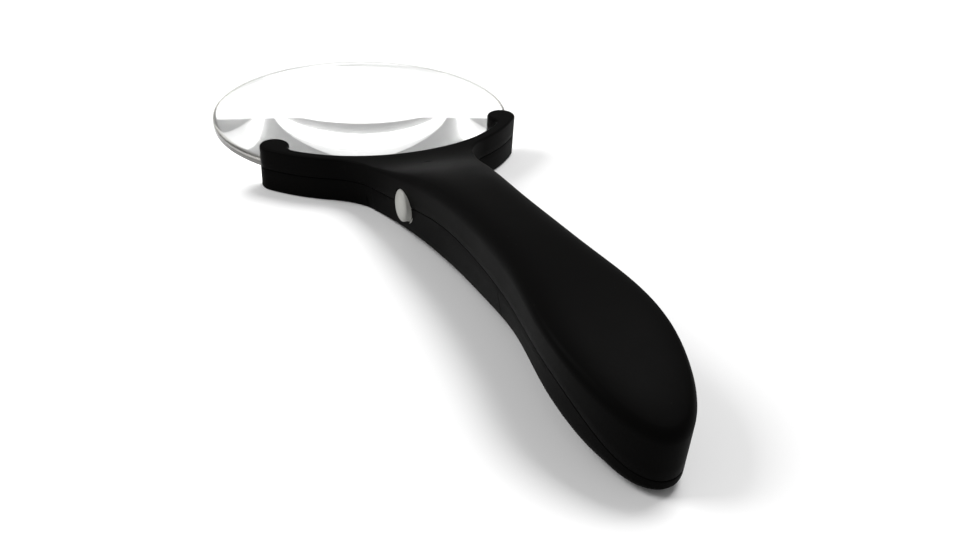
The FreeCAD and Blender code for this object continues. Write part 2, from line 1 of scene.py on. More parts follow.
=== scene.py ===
"""Looks of a lighted rimless hand magnifier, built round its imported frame.

Shapes are worked out in millimetres in the frame's own axes: X across the handle, Y along it
towards the lens, Z up from the table. "Reach" is the distance behind the lens centre. Meshes are
turned into metres when they become objects.
"""
import json
import logging
import math
from dataclasses import dataclass, field, replace
from enum import Enum
from typing import Callable, Sequence

import bmesh
import bpy
import numpy as np
from mathutils import Matrix, Vector
from mathutils.geometry import delaunay_2d_cdt

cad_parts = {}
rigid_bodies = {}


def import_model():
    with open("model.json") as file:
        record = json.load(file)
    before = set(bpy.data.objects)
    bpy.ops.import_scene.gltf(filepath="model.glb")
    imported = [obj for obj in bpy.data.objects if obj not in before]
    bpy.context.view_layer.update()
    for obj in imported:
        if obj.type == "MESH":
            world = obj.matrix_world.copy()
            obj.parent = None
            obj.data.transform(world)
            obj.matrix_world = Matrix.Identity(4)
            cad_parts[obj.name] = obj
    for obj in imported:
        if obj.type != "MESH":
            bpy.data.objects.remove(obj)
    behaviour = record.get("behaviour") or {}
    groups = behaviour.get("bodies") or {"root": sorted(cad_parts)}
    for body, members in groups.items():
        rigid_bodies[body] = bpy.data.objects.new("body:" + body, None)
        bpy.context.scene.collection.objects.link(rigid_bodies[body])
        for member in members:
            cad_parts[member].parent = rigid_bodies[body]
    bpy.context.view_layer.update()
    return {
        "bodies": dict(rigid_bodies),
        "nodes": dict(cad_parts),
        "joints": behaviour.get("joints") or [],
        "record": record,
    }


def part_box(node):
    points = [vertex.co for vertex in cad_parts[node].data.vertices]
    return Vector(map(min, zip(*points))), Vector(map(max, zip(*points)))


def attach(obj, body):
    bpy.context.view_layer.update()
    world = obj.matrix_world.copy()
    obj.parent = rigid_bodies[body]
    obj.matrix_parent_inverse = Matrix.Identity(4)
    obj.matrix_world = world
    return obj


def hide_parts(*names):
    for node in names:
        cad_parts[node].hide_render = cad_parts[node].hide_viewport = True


LOG = logging.getLogger("magnifier")
MM = 0.001
DRAFT_HEIGHT = 30.0
ROUND_POINTS = 40
OVAL_POINTS = 72
Colour = tuple[float, float, float]
Heights = Callable[[np.ndarray], np.ndarray]


class Body(Enum):
    """Bodies of the frame that pieces ride on."""

    ROOT = "root"
    BUTTON = "button"
    COVER = "cover"


class Slot(Enum):
    """Material slots of the record, one for each kind of new piece."""

    SHELL = "soft_touch_black"
    LENS = "clear_lens"
    BUTTON = "button_grey"


class Cut(Enum):
    """Ways of combining two solid meshes."""

    AWAY = "DIFFERENCE"
    TOGETHER = "UNION"
    WITHIN = "INTERSECT"


# ---- plain geometry ----------------------------------------------------------------------
class Profile:
    """Smooth curve of a height or a width along the handle."""

    def __init__(self, stations: Sequence[tuple[float, float]]) -> None:
        """Solve the natural cubic curve through some stations.

        Args:
            stations: (reach, value) pairs in rising order of reach.
        """
        self.reach = np.array([s for s, _ in stations], float)
        self.value = np.array([v for _, v in stations], float)
        count = len(stations)
        gap = np.diff(self.reach)
        slope = np.diff(self.value) / gap
        system = np.eye(count)
        right = np.zeros(count)
        for i in range(1, count - 1):
            system[i, i - 1 : i + 2] = gap[i - 1], 2 * (gap[i - 1] + gap[i]), gap[i]
            right[i] = 6 * (slope[i] - slope[i - 1])
        self.bend = np.linalg.solve(system, right)

    def __call__(self, reach: np.ndarray | float) -> np.ndarray:
        """Value of the curve.

        Args:
            reach: one reach or an array of them.

        Returns:
            The value at each reach, held at both ends.
        """
        s = np.clip(np.asarray(reach, float), self.reach[0], self.reach[-1])
        i = np.clip(np.searchsorted(self.reach, s) - 1, 0, len(self.reach) - 2)
        gap = self.reach[i + 1] - self.reach[i]
        a = (self.reach[i + 1] - s) / gap
        b = 1.0 - a
        bent = (a**3 - a) * self.bend[i] + (b**3 - b) * self.bend[i + 1]
        return a * self.value[i] + b * self.value[i + 1] + bent * gap**2 / 6


def ramp(value: np.ndarray | float, low: float, high: float) -> np.ndarray:
    """Smooth step from 0 at low to 1 at high."""
    u = np.clip((np.asarray(value, float) - low) / (high - low), 0.0, 1.0)
    return u * u * (3.0 - 2.0 * u)


def inside(points: np.ndarray, loop: np.ndarray) -> np.ndarray:
    """Which plan points lie inside a closed loop.

    Args:
        points: (n, 2) points to test.
        loop: (m, 2) corners of the loop.

    Returns:
        One truth value for each point.
    """
    ahead = np.roll(loop, -1, axis=0)
    x, y = points[:, :1], points[:, 1:2]
    crosses = (loop[:, 1] > y) != (ahead[:, 1] > y)
    rise = np.where(ahead[:, 1] == loop[:, 1], 1e-9, ahead[:, 1] - loop[:, 1])
    left = x < (ahead[:, 0] - loop[:, 0]) * (y - loop[:, 1]) / rise + loop[:, 0]
    return (crosses & left).sum(axis=1) % 2 == 1


def nearest(points: np.ndarray, loop: np.ndarray) -> np.ndarray:
    """Distance from each plan point to the nearest corner of a loop."""
    return np.min(np.linalg.norm(points[:, None, :] - loop[None, :, :], axis=2), axis=1)


class Shape:
    """Growing mesh, in millimetres."""

    def __init__(self) -> None:
        """Start with no points and no faces."""
        self.points: list[tuple[float, float, float]] = []
        self.faces: list[tuple[int, ...]] = []

    def ring(self, xyz: np.ndarray) -> list[int]:
        """Add a row of points.

        Args:
            xyz: (n, 3) points.

        Returns:
            Their numbers.
        """
        first = len(self.points)
        self.points.extend(map(tuple, xyz))
        return list(range(first, first + len(xyz)))

    def bridge(self, one: Sequence[int], two: Sequence[int], closed: bool = True) -> None:
        """Join two rows of equal length with quads.

        Args:
            one: numbers of the first row.
            two: numbers of the second row.
            closed: whether the rows are loops.
        """
        for i in range(len(one) if closed else len(one) - 1):
            j = (i + 1) % len(one)
            self.faces.append((one[i], one[j], two[j], two[i]))

    def stack(self, rows: Sequence[np.ndarray], closed: bool = True) -> list[list[int]]:
        """Add rows of points and join each to the next.

        Args:
            rows: (n, 3) arrays, all of one length.
            closed: whether the rows are loops.

        Returns:
            The numbers of each row.
        """
        numbers = [self.ring(row) for row in rows]
        for one, two in zip(numbers, numbers[1:]):
            self.bridge(one, two, closed)
        return numbers

    def fan(self, row: Sequence[int], point: Sequence[float]) -> None:
        """Close a loop with triangles to one point."""
        tip = self.ring(np.array([point]))[0]
        for i, here in enumerate(row):
            self.faces.append((here, row[(i + 1) % len(row)], tip))

    def fill(
        self, row: Sequence[int], heights: Heights, spacing: float, hole: Sequence[int] = ()
    ) -> None:
        """Fill a loop, apart from a hole, with triangles on a surface.

        Args:
            row: numbers of the loop's points.
            heights: height of the surface over (n, 2) plan points.
            spacing: distance between the points added inside.
            hole: numbers of a loop inside, left open.
        """
        loop = np.array([self.points[i] for i in row])[:, :2]
        gap = np.array([self.points[i] for i in hole])[:, :2] if hole else None
        low, high = loop.min(axis=0), loop.max(axis=0)
        step = spacing * math.sqrt(3) / 2
        spots = []
        for k, y in enumerate(np.arange(low[1], high[1], step)):
            shift = spacing / 2 if k % 2 else 0.0
            spots.extend((x, y) for x in np.arange(low[0] + shift, high[0], spacing))
        spots = np.array(spots)
        spots = spots[inside(spots, loop)]
        spots = spots[nearest(spots, loop) > 0.6 * spacing]
        if gap is not None:
            spots = spots[~inside(spots, gap)]
            spots = spots[nearest(spots, gap) > 0.6 * spacing]
        added = self.ring(np.column_stack([spots, heights(spots)])) if len(spots) else []
        numbers = list(row) + list(hole) + added
        flat = [Vector(p[:2]) for p in (self.points[i] for i in numbers)]
        edges = [(i, (i + 1) % len(row)) for i in range(len(row))]
        edges += [(len(row) + i, len(row) + (i + 1) % len(hole)) for i in range(len(hole))]
        _, _, triangles, origins, _, _ = delaunay_2d_cdt(flat, edges, [], 1, 1e-6, True)
        if not all(origins):
            raise RuntimeError("a loop crosses itself")
        corners = np.array([[origins[i][0] for i in triangle] for triangle in triangles])
        middles = np.array(flat)[corners].mean(axis=1)
        kept = inside(middles, loop)
        if gap is not None:
            kept &= ~inside(middles, gap)
        self.faces.extend(tuple(numbers[i] for i in triangle) for triangle in corners[kept])

    def make(self, name: str) -> bpy.types.Object:
        """Turn the shape into an object.

        Args:
            name: the object's name.

        Returns:
            The new object, in metres, its faces turned outwards.
        """
        mesh = bpy.data.meshes.new(name)
        mesh.from_pydata([(x * MM, y * MM, z * MM) for x, y, z in self.points], [], self.faces)
        solid = bmesh.new()
        solid.from_mesh(mesh)
        bmesh.ops.remove_doubles(solid, verts=solid.verts, dist=1e-7)
        bmesh.ops.recalc_face_normals(solid, faces=solid.faces)
        solid.to_mesh(mesh)
        solid.free()
        made = bpy.data.objects.new(name, mesh)
        bpy.context.scene.collection.objects.link(made)
        return made


def combine(piece: bpy.types.Object, tool: Shape, how: Cut) -> None:
    """Cut a shape out of a piece, or join it on, and apply the result.

    Args:
        piece: the object that is changed.
        tool: the closed shape that changes it.
        how: what is done.
    """
    helper = tool.make(piece.name + "_tool")
    change = piece.modifiers.new("change", "BOOLEAN")
    change.operation = how.value
    change.solver = "MANIFOLD"
    change.object = helper
    graph = bpy.context.evaluated_depsgraph_get()
    mesh = bpy.data.meshes.new_from_object(piece.evaluated_get(graph))
    piece.modifiers.clear()
    spent = (piece.data, helper.data)
    piece.data = mesh
    bpy.data.objects.remove(helper)
    for data in spent:
        bpy.data.meshes.remove(data)
    if not piece.data.polygons:
        raise RuntimeError(f"{piece.name} is empty after {how.name}")


def oval(centre: Sequence[float], half: tuple[float, float], count: int) -> np.ndarray:
    """Upright oval in the plane across X.

    Args:
        centre: its middle.
        half: half sizes along Y and Z.
        count: how many points.

    Returns:
        (count, 3) points.
    """
    turn = np.linspace(0, 2 * math.pi, count, endpoint=False)
    x, y, z = centre
    return np.column_stack([np.full(count, x), y + half[0] * np.cos(turn), z + half[1] * np.sin(turn)])


def rod(start: Sequence[float], end: Sequence[float], radii: Sequence[float]) -> Shape:
    """Closed round rod whose radius changes evenly along it.

    Args:
        start: middle of the first end.
        end: middle of the last end.
        radii: radius at evenly spaced places from start to end.

    Returns:
        The rod.
    """
    a, b = Vector(start), Vector(end)
    along = (b - a).normalized()
    side = along.orthogonal().normalized()
    other = along.cross(side)
    turns = [2 * math.pi * k / ROUND_POINTS for k in range(ROUND_POINTS)]
    rows = []
    for k, radius in enumerate(radii):
        centre = a.lerp(b, k / (len(radii) - 1))
        rows.append(np.array([centre + (side * math.cos(t) + other * math.sin(t)) * radius for t in turns]))
    shape = Shape()
    numbers = shape.stack(rows)
    shape.fan(numbers[0], a)
    shape.fan(numbers[-1], b)
    return shape


def turned(profile: Sequence[tuple[float, float]], centre: Sequence[float], count: int) -> Shape:
    """Closed shape turned about an upright axis.

    Args:
        profile: (radius, height) points from the lower axis end to the upper one; the first and
            last radius are nought.
        centre: where the axis and height nought are.
        count: points round the axis.

    Returns:
        The shape.
    """
    turn = np.linspace(0, 2 * math.pi, count, endpoint=False)
    x, y, z = centre
    rows = [
        np.column_stack([x + r * np.cos(turn), y + r * np.sin(turn), np.full(count, z + h)])
        for r, h in profile[1:-1]
    ]
    shape = Shape()
    numbers = shape.stack(rows)
    shape.fan(numbers[0], (x, y, z + profile[0][1]))
    shape.fan(numbers[-1], (x, y, z + profile[-1][1]))
    return shape


# ---- outer form of fork and handle -------------------------------------------------------
@dataclass
class Rim:
    """Closed plan line at the draft height, with what changes along it."""

    plan: np.ndarray
    out: np.ndarray
    lean: np.ndarray
    shoulder: np.ndarray
    keel: np.ndarray

    def at(self, inset: np.ndarray | float, z: np.ndarray | float) -> np.ndarray:
        """Points of the drafted wall.

        Args:
            inset: distance inwards from the wall.
            z: height of each point.

        Returns:
            (n, 3) points.
        """
        height = np.broadcast_to(np.asarray(z, float), self.lean.shape)
        inwards = self.lean * (DRAFT_HEIGHT - height) + inset
        return np.column_stack([self.plan - self.out * inwards[:, None], height])

    def on(self, inset: np.ndarray | float, heights: Heights) -> np.ndarray:
        """Points where the inset wall meets a surface.

        Args:
            inset: distance inwards from the wall.
            heights: height of the surface over (n, 2) plan points.

        Returns:
            (n, 3) points.
        """
        points = self.at(inset, heights(self.plan))
        for _ in range(3):
            points = self.at(inset, heights(points[:, :2]))
        return points


@dataclass
class Form:
    """Outer form of fork and handle, as smooth functions of place."""

    lens_y: float
    inner_r: float = 55.9
    outer_r: float = 60.2
    lobe_deg: float = 50.5
    lobe_r: float = 5.0
    root_deg: float = 27.0
    flank_start: float = 66.0
    widest_reach: float = 193.0
    widest_half: float = 16.9
    end_reach: float = 229.0
    arm_draft: float = 0.8
    handle_draft: float = 4.0
    rear_draft: float = 2.0
    rear_fullness: float = 0.97
    top_crown: float = 2.4
    bottom_crown: float = 1.8
    spacing: float = 0.8
    table_gap: float = 0.02
    arc_points: int = 80
    arm_points: int = 40
    neck_points: int = 16
    neck_pull: float = 1.2
    flank_points: int = 160
    rear_points: int = 90
    outline_easing: int = 14
    hollow_easing: int = -90
    hollow_corner: float = 60.0
    neck_edges: tuple[float, float] = (60.0, 96.0)
    shoulder_steps: tuple[float, float, float] = (0.9, 1.7, 0.7)
    keel_steps: tuple[float, float, float, float] = (0.8, 1.2, 1.6, 1.4)
    half_widths: tuple[tuple[float, float], ...] = (
        (52, 29.0), (60, 23.3), (71, 19.0), (86, 16.0), (104, 13.5), (122, 12.2), (143, 12.3),
        (165, 13.8), (180, 15.9), (193, 16.9), (206, 15.9),
    )  # fmt: skip
    top_line: tuple[tuple[float, float], ...] = (
        (20, 15.5), (36, 15.5), (50, 15.5), (60, 16.1), (70, 18.0), (80, 21.1), (90, 24.3),
        (100, 26.6), (121, 29.4), (143, 31.2), (165, 31.9), (182, 31.2), (198, 29.0), (214, 25.2),
        (229, 20.0), (240, 15.5),
    )  # fmt: skip
    bottom_line: tuple[tuple[float, float], ...] = (
        (20, -0.4), (40, -0.4), (58, -0.3), (74, 0.5), (92, 1.4), (110, 2.4), (132, 4.1),
        (154, 6.1), (172, 7.0), (190, 5.7), (204, 2.9), (216, 0.8), (229, 0.3), (240, 0.3),
    )  # fmt: skip
    parting_line: tuple[tuple[float, float], ...] = (
        (20, 8.0), (50, 8.0), (66, 8.8), (85, 11.3), (105, 15.1), (128, 16.9), (151, 17.6),
        (172, 18.0), (186, 18.3), (198, 16.6), (208, 12.9), (218, 8.0), (229, 4.4), (240, 3.0),
    )  # fmt: skip
    width: Profile = field(init=False)
    crest: Profile = field(init=False)
    base: Profile = field(init=False)
    joint: Profile = field(init=False)

    def __post_init__(self) -> None:
        """Solve the profiles."""
        self.width = Profile(self.half_widths)
        self.crest = Profile(self.top_line)
        self.base = Profile(self.bottom_line)
        self.joint = Profile(self.parting_line)

    def reach(self, plan: np.ndarray) -> np.ndarray:
        """Reach of plan points."""
        return self.lens_y - plan[:, 1]

    def half(self, reach: np.ndarray | float) -> np.ndarray:
        """Half width at the draft height, held at its widest behind that place."""
        return self.width(np.minimum(reach, self.widest_reach))

    def fall(self, plan: np.ndarray, crown: float) -> np.ndarray:
        """How far a crowned face has dropped from its middle line.

        Args:
            plan: (n, 2) plan points.
            crown: the full drop at the edge of the handle.

        Returns:
            The drop at each point.
        """
        s = self.reach(plan)
        behind = np.maximum(s - self.widest_reach, 0.0) / (self.end_reach - self.widest_reach)
        out = np.minimum(np.hypot(plan[:, 0] / self.half(s), behind), 1.3)
        return crown * ramp(s, 62.0, 100.0) * out**4

    def top(self, plan: np.ndarray) -> np.ndarray:
        """Height of the top face over plan points."""
        return self.crest(self.reach(plan)) - self.fall(plan, self.top_crown)

    def bottom(self, plan: np.ndarray) -> np.ndarray:
        """Height of the underside over plan points, never under the table."""
        return np.maximum(self.base(self.reach(plan)) + self.fall(plan, self.bottom_crown), self.table_gap)

    def seam(self, plan: np.ndarray) -> np.ndarray:
        """Height of the parting over plan points."""
        return self.joint(self.reach(plan))

    def polar(self, radius: float, degrees: np.ndarray | float) -> np.ndarray:
        """Plan points on a circle about the lens centre; 0 degrees is down the handle."""
        a = np.radians(np.atleast_1d(degrees))
        return np.column_stack([radius * np.sin(a), self.lens_y - radius * np.cos(a)])

    def flank(self, first: float, count: int) -> np.ndarray:
        """Plan points down the right side of the handle, from a reach to its widest place."""
        s = np.linspace(first, self.widest_reach, count)
        return np.column_stack([self.half(s), self.lens_y - s])

    def rear(self, count: int) -> np.ndarray:
        """Plan points round the right half of the rear end."""
        a = np.linspace(0, math.pi / 2, count)[1:]
        depth = self.end_reach - self.widest_reach
        y = self.lens_y - self.widest_reach - depth * np.sin(a) ** self.rear_fullness
        return np.column_stack([self.widest_half * np.abs(np.cos(a)) ** self.rear_fullness, y])

    def rear_lean(self) -> np.ndarray:
        """How much the wall leans in over the draft height, round the right half of the rear end."""
        a = np.linspace(0, math.pi / 2, self.rear_points)[1:]
        return self.handle_draft + (self.rear_draft - self.handle_draft) * np.sin(a) ** 2

    def neck_curve(self) -> np.ndarray:
        """Plan points from the prong's outer edge into the side of the neck, on one smooth curve."""
        root = math.radians(self.root_deg)
        start = self.polar(self.outer_r, self.root_deg)[0]
        end = self.flank(self.flank_start, 3)
        reach = self.flank_start - self.outer_r * math.cos(root)
        one = np.array([-math.cos(root), -math.sin(root)]) * reach
        two = (end[1] - end[0]) / np.linalg.norm(end[1] - end[0]) * reach
        u = np.linspace(0, 1, self.neck_points)[1:-1, None]
        rest = 1 - u
        from_start = (2 * u**3 - 3 * u**2 + 1) * start + u * rest**2 * one * self.neck_pull
        return from_start + (3 * u**2 - 2 * u**3) * end[0] - u**2 * rest * two * self.neck_pull

    def half_outline(self) -> tuple[np.ndarray, np.ndarray]:
        """Right half of the outline, from the middle of the inner edge to the middle of the rear.

        Returns:
            Plan points, and how fast the wall leans in at each.
        """
        middle = self.outer_r - self.lobe_r
        near = self.inner_r**2 + middle**2 - self.lobe_r**2
        notch = self.lobe_deg - math.degrees(math.acos(near / (2 * self.inner_r * middle)))
        centre = self.polar(middle, self.lobe_deg)[0]
        corner = self.polar(self.inner_r, notch)[0] - centre
        tip = math.radians(self.lobe_deg)
        outward = np.array([math.sin(tip), -math.cos(tip)])
        onward = np.array([math.cos(tip), math.sin(tip)])
        last = math.atan2(corner @ onward, corner @ outward) % (2 * math.pi)
        turn = np.linspace(last, 0, self.arc_points)
        lobe = centre + self.lobe_r * (np.outer(np.cos(turn), outward) + np.outer(np.sin(turn), onward))
        inner = self.polar(self.inner_r, np.linspace(0, notch, self.arc_points)[:-1])
        arm = self.polar(self.outer_r, np.linspace(self.lobe_deg, self.root_deg, self.arm_points)[1:])
        neck = self.neck_curve()
        flank = self.flank(self.flank_start, self.flank_points)
        rear = self.rear(self.rear_points)
        blend = ramp(self.reach(neck), self.reach(arm[-1:])[0], self.flank_start)
        lean = np.concatenate([
            np.zeros(len(inner)),
            self.arm_draft * np.cos(turn),
            np.full(len(arm), self.arm_draft),
            self.arm_draft + (self.handle_draft - self.arm_draft) * blend,
            np.full(len(flank), self.handle_draft),
            self.rear_lean(),
        ])  # fmt: skip
        return np.vstack([inner, lobe, arm, neck, flank, rear]), lean / DRAFT_HEIGHT

    def close(self, plan: np.ndarray, lean: np.ndarray, soft: int) -> Rim:
        """Mirror half an outline, space its points evenly and find its normals.

        Args:
            plan: right half, from front middle to rear middle.
            lean: lean of the wall at each point.
            soft: how many easing rounds reentrant corners get; all corners if it is negative.

        Returns:
            The closed rim.
        """
        whole = np.vstack([plan, (plan[::-1] * [-1, 1])[1:-1]])
        leans = np.concatenate([lean, lean[::-1][1:-1]])
        whole, leans = np.vstack([whole, whole[:1]]), np.append(leans, leans[0])
        run = np.concatenate([[0], np.cumsum(np.linalg.norm(np.diff(whole, axis=0), axis=1))])
        count = round(run[-1] / self.spacing)
        even = np.linspace(0, run[-1], count, endpoint=False)
        line = np.column_stack([np.interp(even, run, whole[:, k]) for k in (0, 1)])
        leans = np.interp(even, run, leans)
        for _ in range(abs(soft)):
            ahead, back = np.roll(line, -1, axis=0), np.roll(line, 1, axis=0)
            bend = (ahead + back) / 2 - line
            side = ahead - back
            eased = np.linalg.norm(bend, axis=1) > 0.02
            if soft > 0:
                eased &= (side[:, 0] * bend[:, 1] - side[:, 1] * bend[:, 0]) > 0
            line = line + bend * (0.6 * eased)[:, None]
        along = np.roll(line, -1, axis=0) - np.roll(line, 1, axis=0)
        along /= np.linalg.norm(along, axis=1)[:, None]
        out = np.column_stack([-along[:, 1], along[:, 0]])
        return Rim(line, out, leans, *self.edge_radii(line))

    def edge_radii(self, line: np.ndarray) -> tuple[np.ndarray, np.ndarray]:
        """Radii of the rounded upper and lower edges: small on the fork, larger on the handle.

        Args:
            line: (n, 2) plan points.

        Returns:
            The radius of the upper and of the lower edge at each point.
        """
        s = self.reach(line)
        on_seat = np.abs(np.linalg.norm(line - [0, self.lens_y], axis=1) - self.inner_r) < 0.5
        handle = np.where(on_seat, 0.0, ramp(s, *self.neck_edges))
        fork, grown, belly = self.shoulder_steps
        shoulder = fork + grown * handle - belly * ramp(s, 150.0, 176.0) * (1 - ramp(s, 196.0, 212.0))
        fork, grown, behind, heel = self.keel_steps
        keel = fork + grown * handle + behind * ramp(s, 130.0, 170.0) + heel * ramp(s, 186.0, 228.0)
        return shoulder, keel

    def outline(self) -> Rim:
        """Rim of the whole body."""
        return self.close(*self.half_outline(), soft=self.outline_easing)

    def hollow(self, front_reach: float) -> Rim:
        """Rim whose walls, set in by a wall's thickness, bound the hollow.

        Args:
            front_reach: reach of the front of the rim on the middle line.

        Returns:
            The closed rim.
        """
        share = np.linspace(0, 1, 24)[:-1]
        run = self.hollow_corner - front_reach
        place = self.lens_y - front_reach - run * share**2
        front = np.column_stack([self.half(self.hollow_corner) * share, place])
        flank = self.flank(self.hollow_corner, self.flank_points)
        rear = self.rear(self.rear_points)
        along = np.full(len(flank), self.handle_draft)
        lean = np.concatenate([np.zeros(len(front)), along, self.rear_lean()])
        plan = np.vstack([front, flank, rear])
        return self.close(plan, lean / DRAFT_HEIGHT, soft=self.hollow_easing)


# ---- shells ------------------------------------------------------------------------------
@dataclass
class Shells:
    """Upper shell, front lower shell and battery cover of the body."""

    form: Form
    wall: float = 1.4
    groove: float = 0.3
    joint_top: tuple[float, float] = (151.5, 18.0)
    joint_bottom: tuple[float, float] = (155.2, 3.0)
    joint_gap: float = 0.26
    hollow_front: float = 56.9
    ridge_reaches: tuple[float, float] = (93.5, 107.5)
    ridge_rise: float = 0.85
    ridge_half: float = 2.1
    ridge_corner: float = 3.0
    ridge_curl: float = 0.35
    ridge_tilt_deg: float = 80.0
    ridge_sink: float = 0.25
    face_grid: float = 1.7
    lining_grid: float = 3.0
    parting_grid: float = 2.5
    lining_ease: float = 1.3
    cutter_half: float = 40.0
    cutter_heights: tuple[float, float] = (-20.0, 50.0)
    cutter_reach: float = 300.0
    post_places: tuple[tuple[float, float], ...] = ((73.0, 3.2), (138.0, 3.2))
    tongue_reaches: tuple[float, float] = (156.3, 160.0)
    tongue_steps: tuple[tuple[float, float], ...] = (
        (13.0, 0.9), (15.6, 0.9), (15.9, 1.8), (19.2, 1.8), (20.2, 2.2),
    )  # fmt: skip
    tongue_inner: float = 2.6
    rim: Rim = field(init=False)
    bore: Rim = field(init=False)

    def __post_init__(self) -> None:
        """Work out the rims of the body and of its hollow."""
        self.rim = self.form.outline()
        self.bore = self.form.hollow(self.hollow_front)

    def skin(self, shape: Shape, upper: bool) -> list[int]:
        """Outer face of the upper or the lower half, with its rounded edge, wall and groove.

        Args:
            shape: the mesh that grows.
            upper: whether it is the upper half.

        Returns:
            The numbers of its last row, at the parting.
        """
        face = self.form.top if upper else self.form.bottom
        sign = -1.0 if upper else 1.0
        depth = np.abs(face(self.rim.plan) - self.form.seam(self.rim.plan)) - 2 * self.groove
        radius = np.minimum(self.rim.shoulder if upper else self.rim.keel, 0.8 * depth)
        rows = []
        for angle in np.radians(np.linspace(0, 90, 8)):
            inset = radius * (1 - math.sin(angle))
            row = self.rim.on(inset, face)
            row[:, 2] += sign * radius * (1 - math.cos(angle))
            rows.append(self.rim.at(inset, row[:, 2]))
        edge = rows[-1][:, 2]
        brink = self.rim.on(0.0, self.form.seam)[:, 2] - sign * self.groove
        for share in (0.35, 0.7, 1.0):
            height = edge * (1 - share) + brink * share
            rows.append(self.rim.at(0.0, height))
        rows.append(self.rim.at(0.35 * self.groove, brink + sign * 0.6 * self.groove))
        rows.append(self.rim.at(self.groove, brink + sign * 0.95 * self.groove))
        numbers = shape.stack(rows)
        shape.fill(numbers[0], face, self.face_grid)
        return numbers[-1]

    def lining(self, shape: Shape, upper: bool) -> list[int]:
        """Inner face of the hollow, above or below the parting.

        Args:
            shape: the mesh that grows.
            upper: whether it is the upper half.

        Returns:
            The numbers of its row at the parting.
        """
        sign = 1.0 if upper else -1.0
        face = self.form.top if upper else self.form.bottom

        def ceiling(plan: np.ndarray) -> np.ndarray:
            """Inner face, a wall's thickness inside the outer one."""
            return face(plan) - sign * self.wall

        seam = self.bore.on(self.wall, self.form.seam)[:, 2] + sign * 0.05 * self.groove
        limit = self.bore.on(self.wall, ceiling)[:, 2]
        ease = np.minimum(self.lining_ease, 0.6 * np.abs(limit - seam))
        rows = [self.bore.at(self.wall, seam), self.bore.at(self.wall, limit - sign * ease)]
        rows.append(self.bore.at(self.wall + 0.3 * ease, limit - sign * 0.3 * ease))
        rows.append(self.bore.on(self.wall + ease, ceiling))
        numbers = shape.stack(rows)
        shape.fill(numbers[-1], ceiling, self.lining_grid)
        return numbers[0]

    def half_body(self, upper: bool) -> Shape:
        """Closed upper or lower half of the body, hollow in neck and handle.

        Args:
            upper: whether it is the upper half.

        Returns:
            The half.
        """
        shape = Shape()
        outer = self.skin(shape, upper)
        inner = self.lining(shape, upper)
        nudge = (0.05 if upper else -0.05) * self.groove
        shape.fill(outer, lambda plan: self.form.seam(plan) + nudge, self.parting_grid, inner)
        return shape

    def behind_joint(self, shift: float) -> Shape:
        """Wedge of space behind the slanted joint between front lower shell and cover.

        Args:
            shift: how far it is moved back.

        Returns:
            The wedge.
        """
        (top_s, top_z), (low_s, low_z) = self.joint_top, self.joint_bottom
        slope = (top_s - low_s) / (top_z - low_z)
        y = self.form.lens_y
        far = y - self.cutter_reach
        rows = []
        for x in (-self.cutter_half, self.cutter_half):
            front = [(x, y - (low_s + slope * (z - low_z) + shift), z) for z in self.cutter_heights]
            rows.append(np.array(front + [(x, far, z) for z in reversed(self.cutter_heights)]))
        shape = Shape()
        numbers = shape.stack(rows)
        shape.faces += [tuple(numbers[0]), tuple(numbers[1])]
        return shape

    def ridge(self, reach: float) -> Shape:
        """One grip ridge, swept across the underside and dying out up the sides.

        Args:
            reach: where it is.

        Returns:
            The closed ridge.
        """
        rows = []
        radius = self.ridge_corner
        for share in np.linspace(-1, 1, 11):
            s = reach + share * self.ridge_half
            y = self.form.lens_y - s
            base = self.form.bottom(np.array([[0.0, y]]))[0]
            lean = self.form.handle_draft / DRAFT_HEIGHT
            half = self.form.half(s) - lean * (DRAFT_HEIGHT - base - radius)
            row = []
            for u in np.linspace(-1, 1, 33):
                wrap = abs(u) * (1.0 + self.ridge_curl)
                side = np.sign(u) * min(wrap, 1.0) * (half - radius)
                tilt = np.sign(u) * max(wrap - 1.0, 0.0) / self.ridge_curl
                tilt *= math.radians(self.ridge_tilt_deg)
                low = self.form.bottom(np.array([[side, y]]))[0]
                fade = math.cos(min(abs(u), 1.0) * math.pi / 2) ** 0.5
                rise = self.ridge_rise * math.cos(share * math.pi / 2) ** 0.8 * fade - self.ridge_sink
                far = radius + rise
                row.append((side + far * math.sin(tilt), y, low + radius - far * math.cos(tilt)))
            rows.append(np.array(row))
        shape = Shape()
        numbers = shape.stack(rows, closed=False)
        sunk = [np.column_stack([r[:, 0] * 0.94, r[:, 1], r[:, 2] + 0.9]) for r in rows]
        under = shape.stack(sunk, closed=False)
        for a, b in ((numbers[0], under[0]), (numbers[-1], under[-1])):
            shape.bridge(a, b, closed=False)
        for end in (0, -1):
            side = [row[end] for row in numbers]
            shape.bridge(side, [row[end] for row in under], closed=False)
        return shape

    def tongue(self, side: int) -> Shape:
        """One snap tongue of the cover, inside the hollow's side wall."""
        first, last = self.tongue_reaches
        rows = []
        for z, inset in self.tongue_steps:
            corners = ((first, inset), (last, inset), (last, self.tongue_inner), (first, self.tongue_inner))
            row = []
            for s, depth in corners:
                lean = self.form.handle_draft / DRAFT_HEIGHT * (DRAFT_HEIGHT - z)
                row.append((side * (self.form.half(s) - lean - depth), self.form.lens_y - s, z))
            rows.append(np.array(row))
        shape = Shape()
        numbers = shape.stack(rows)
        shape.faces += [tuple(numbers[0]), tuple(numbers[-1])]
        return shape

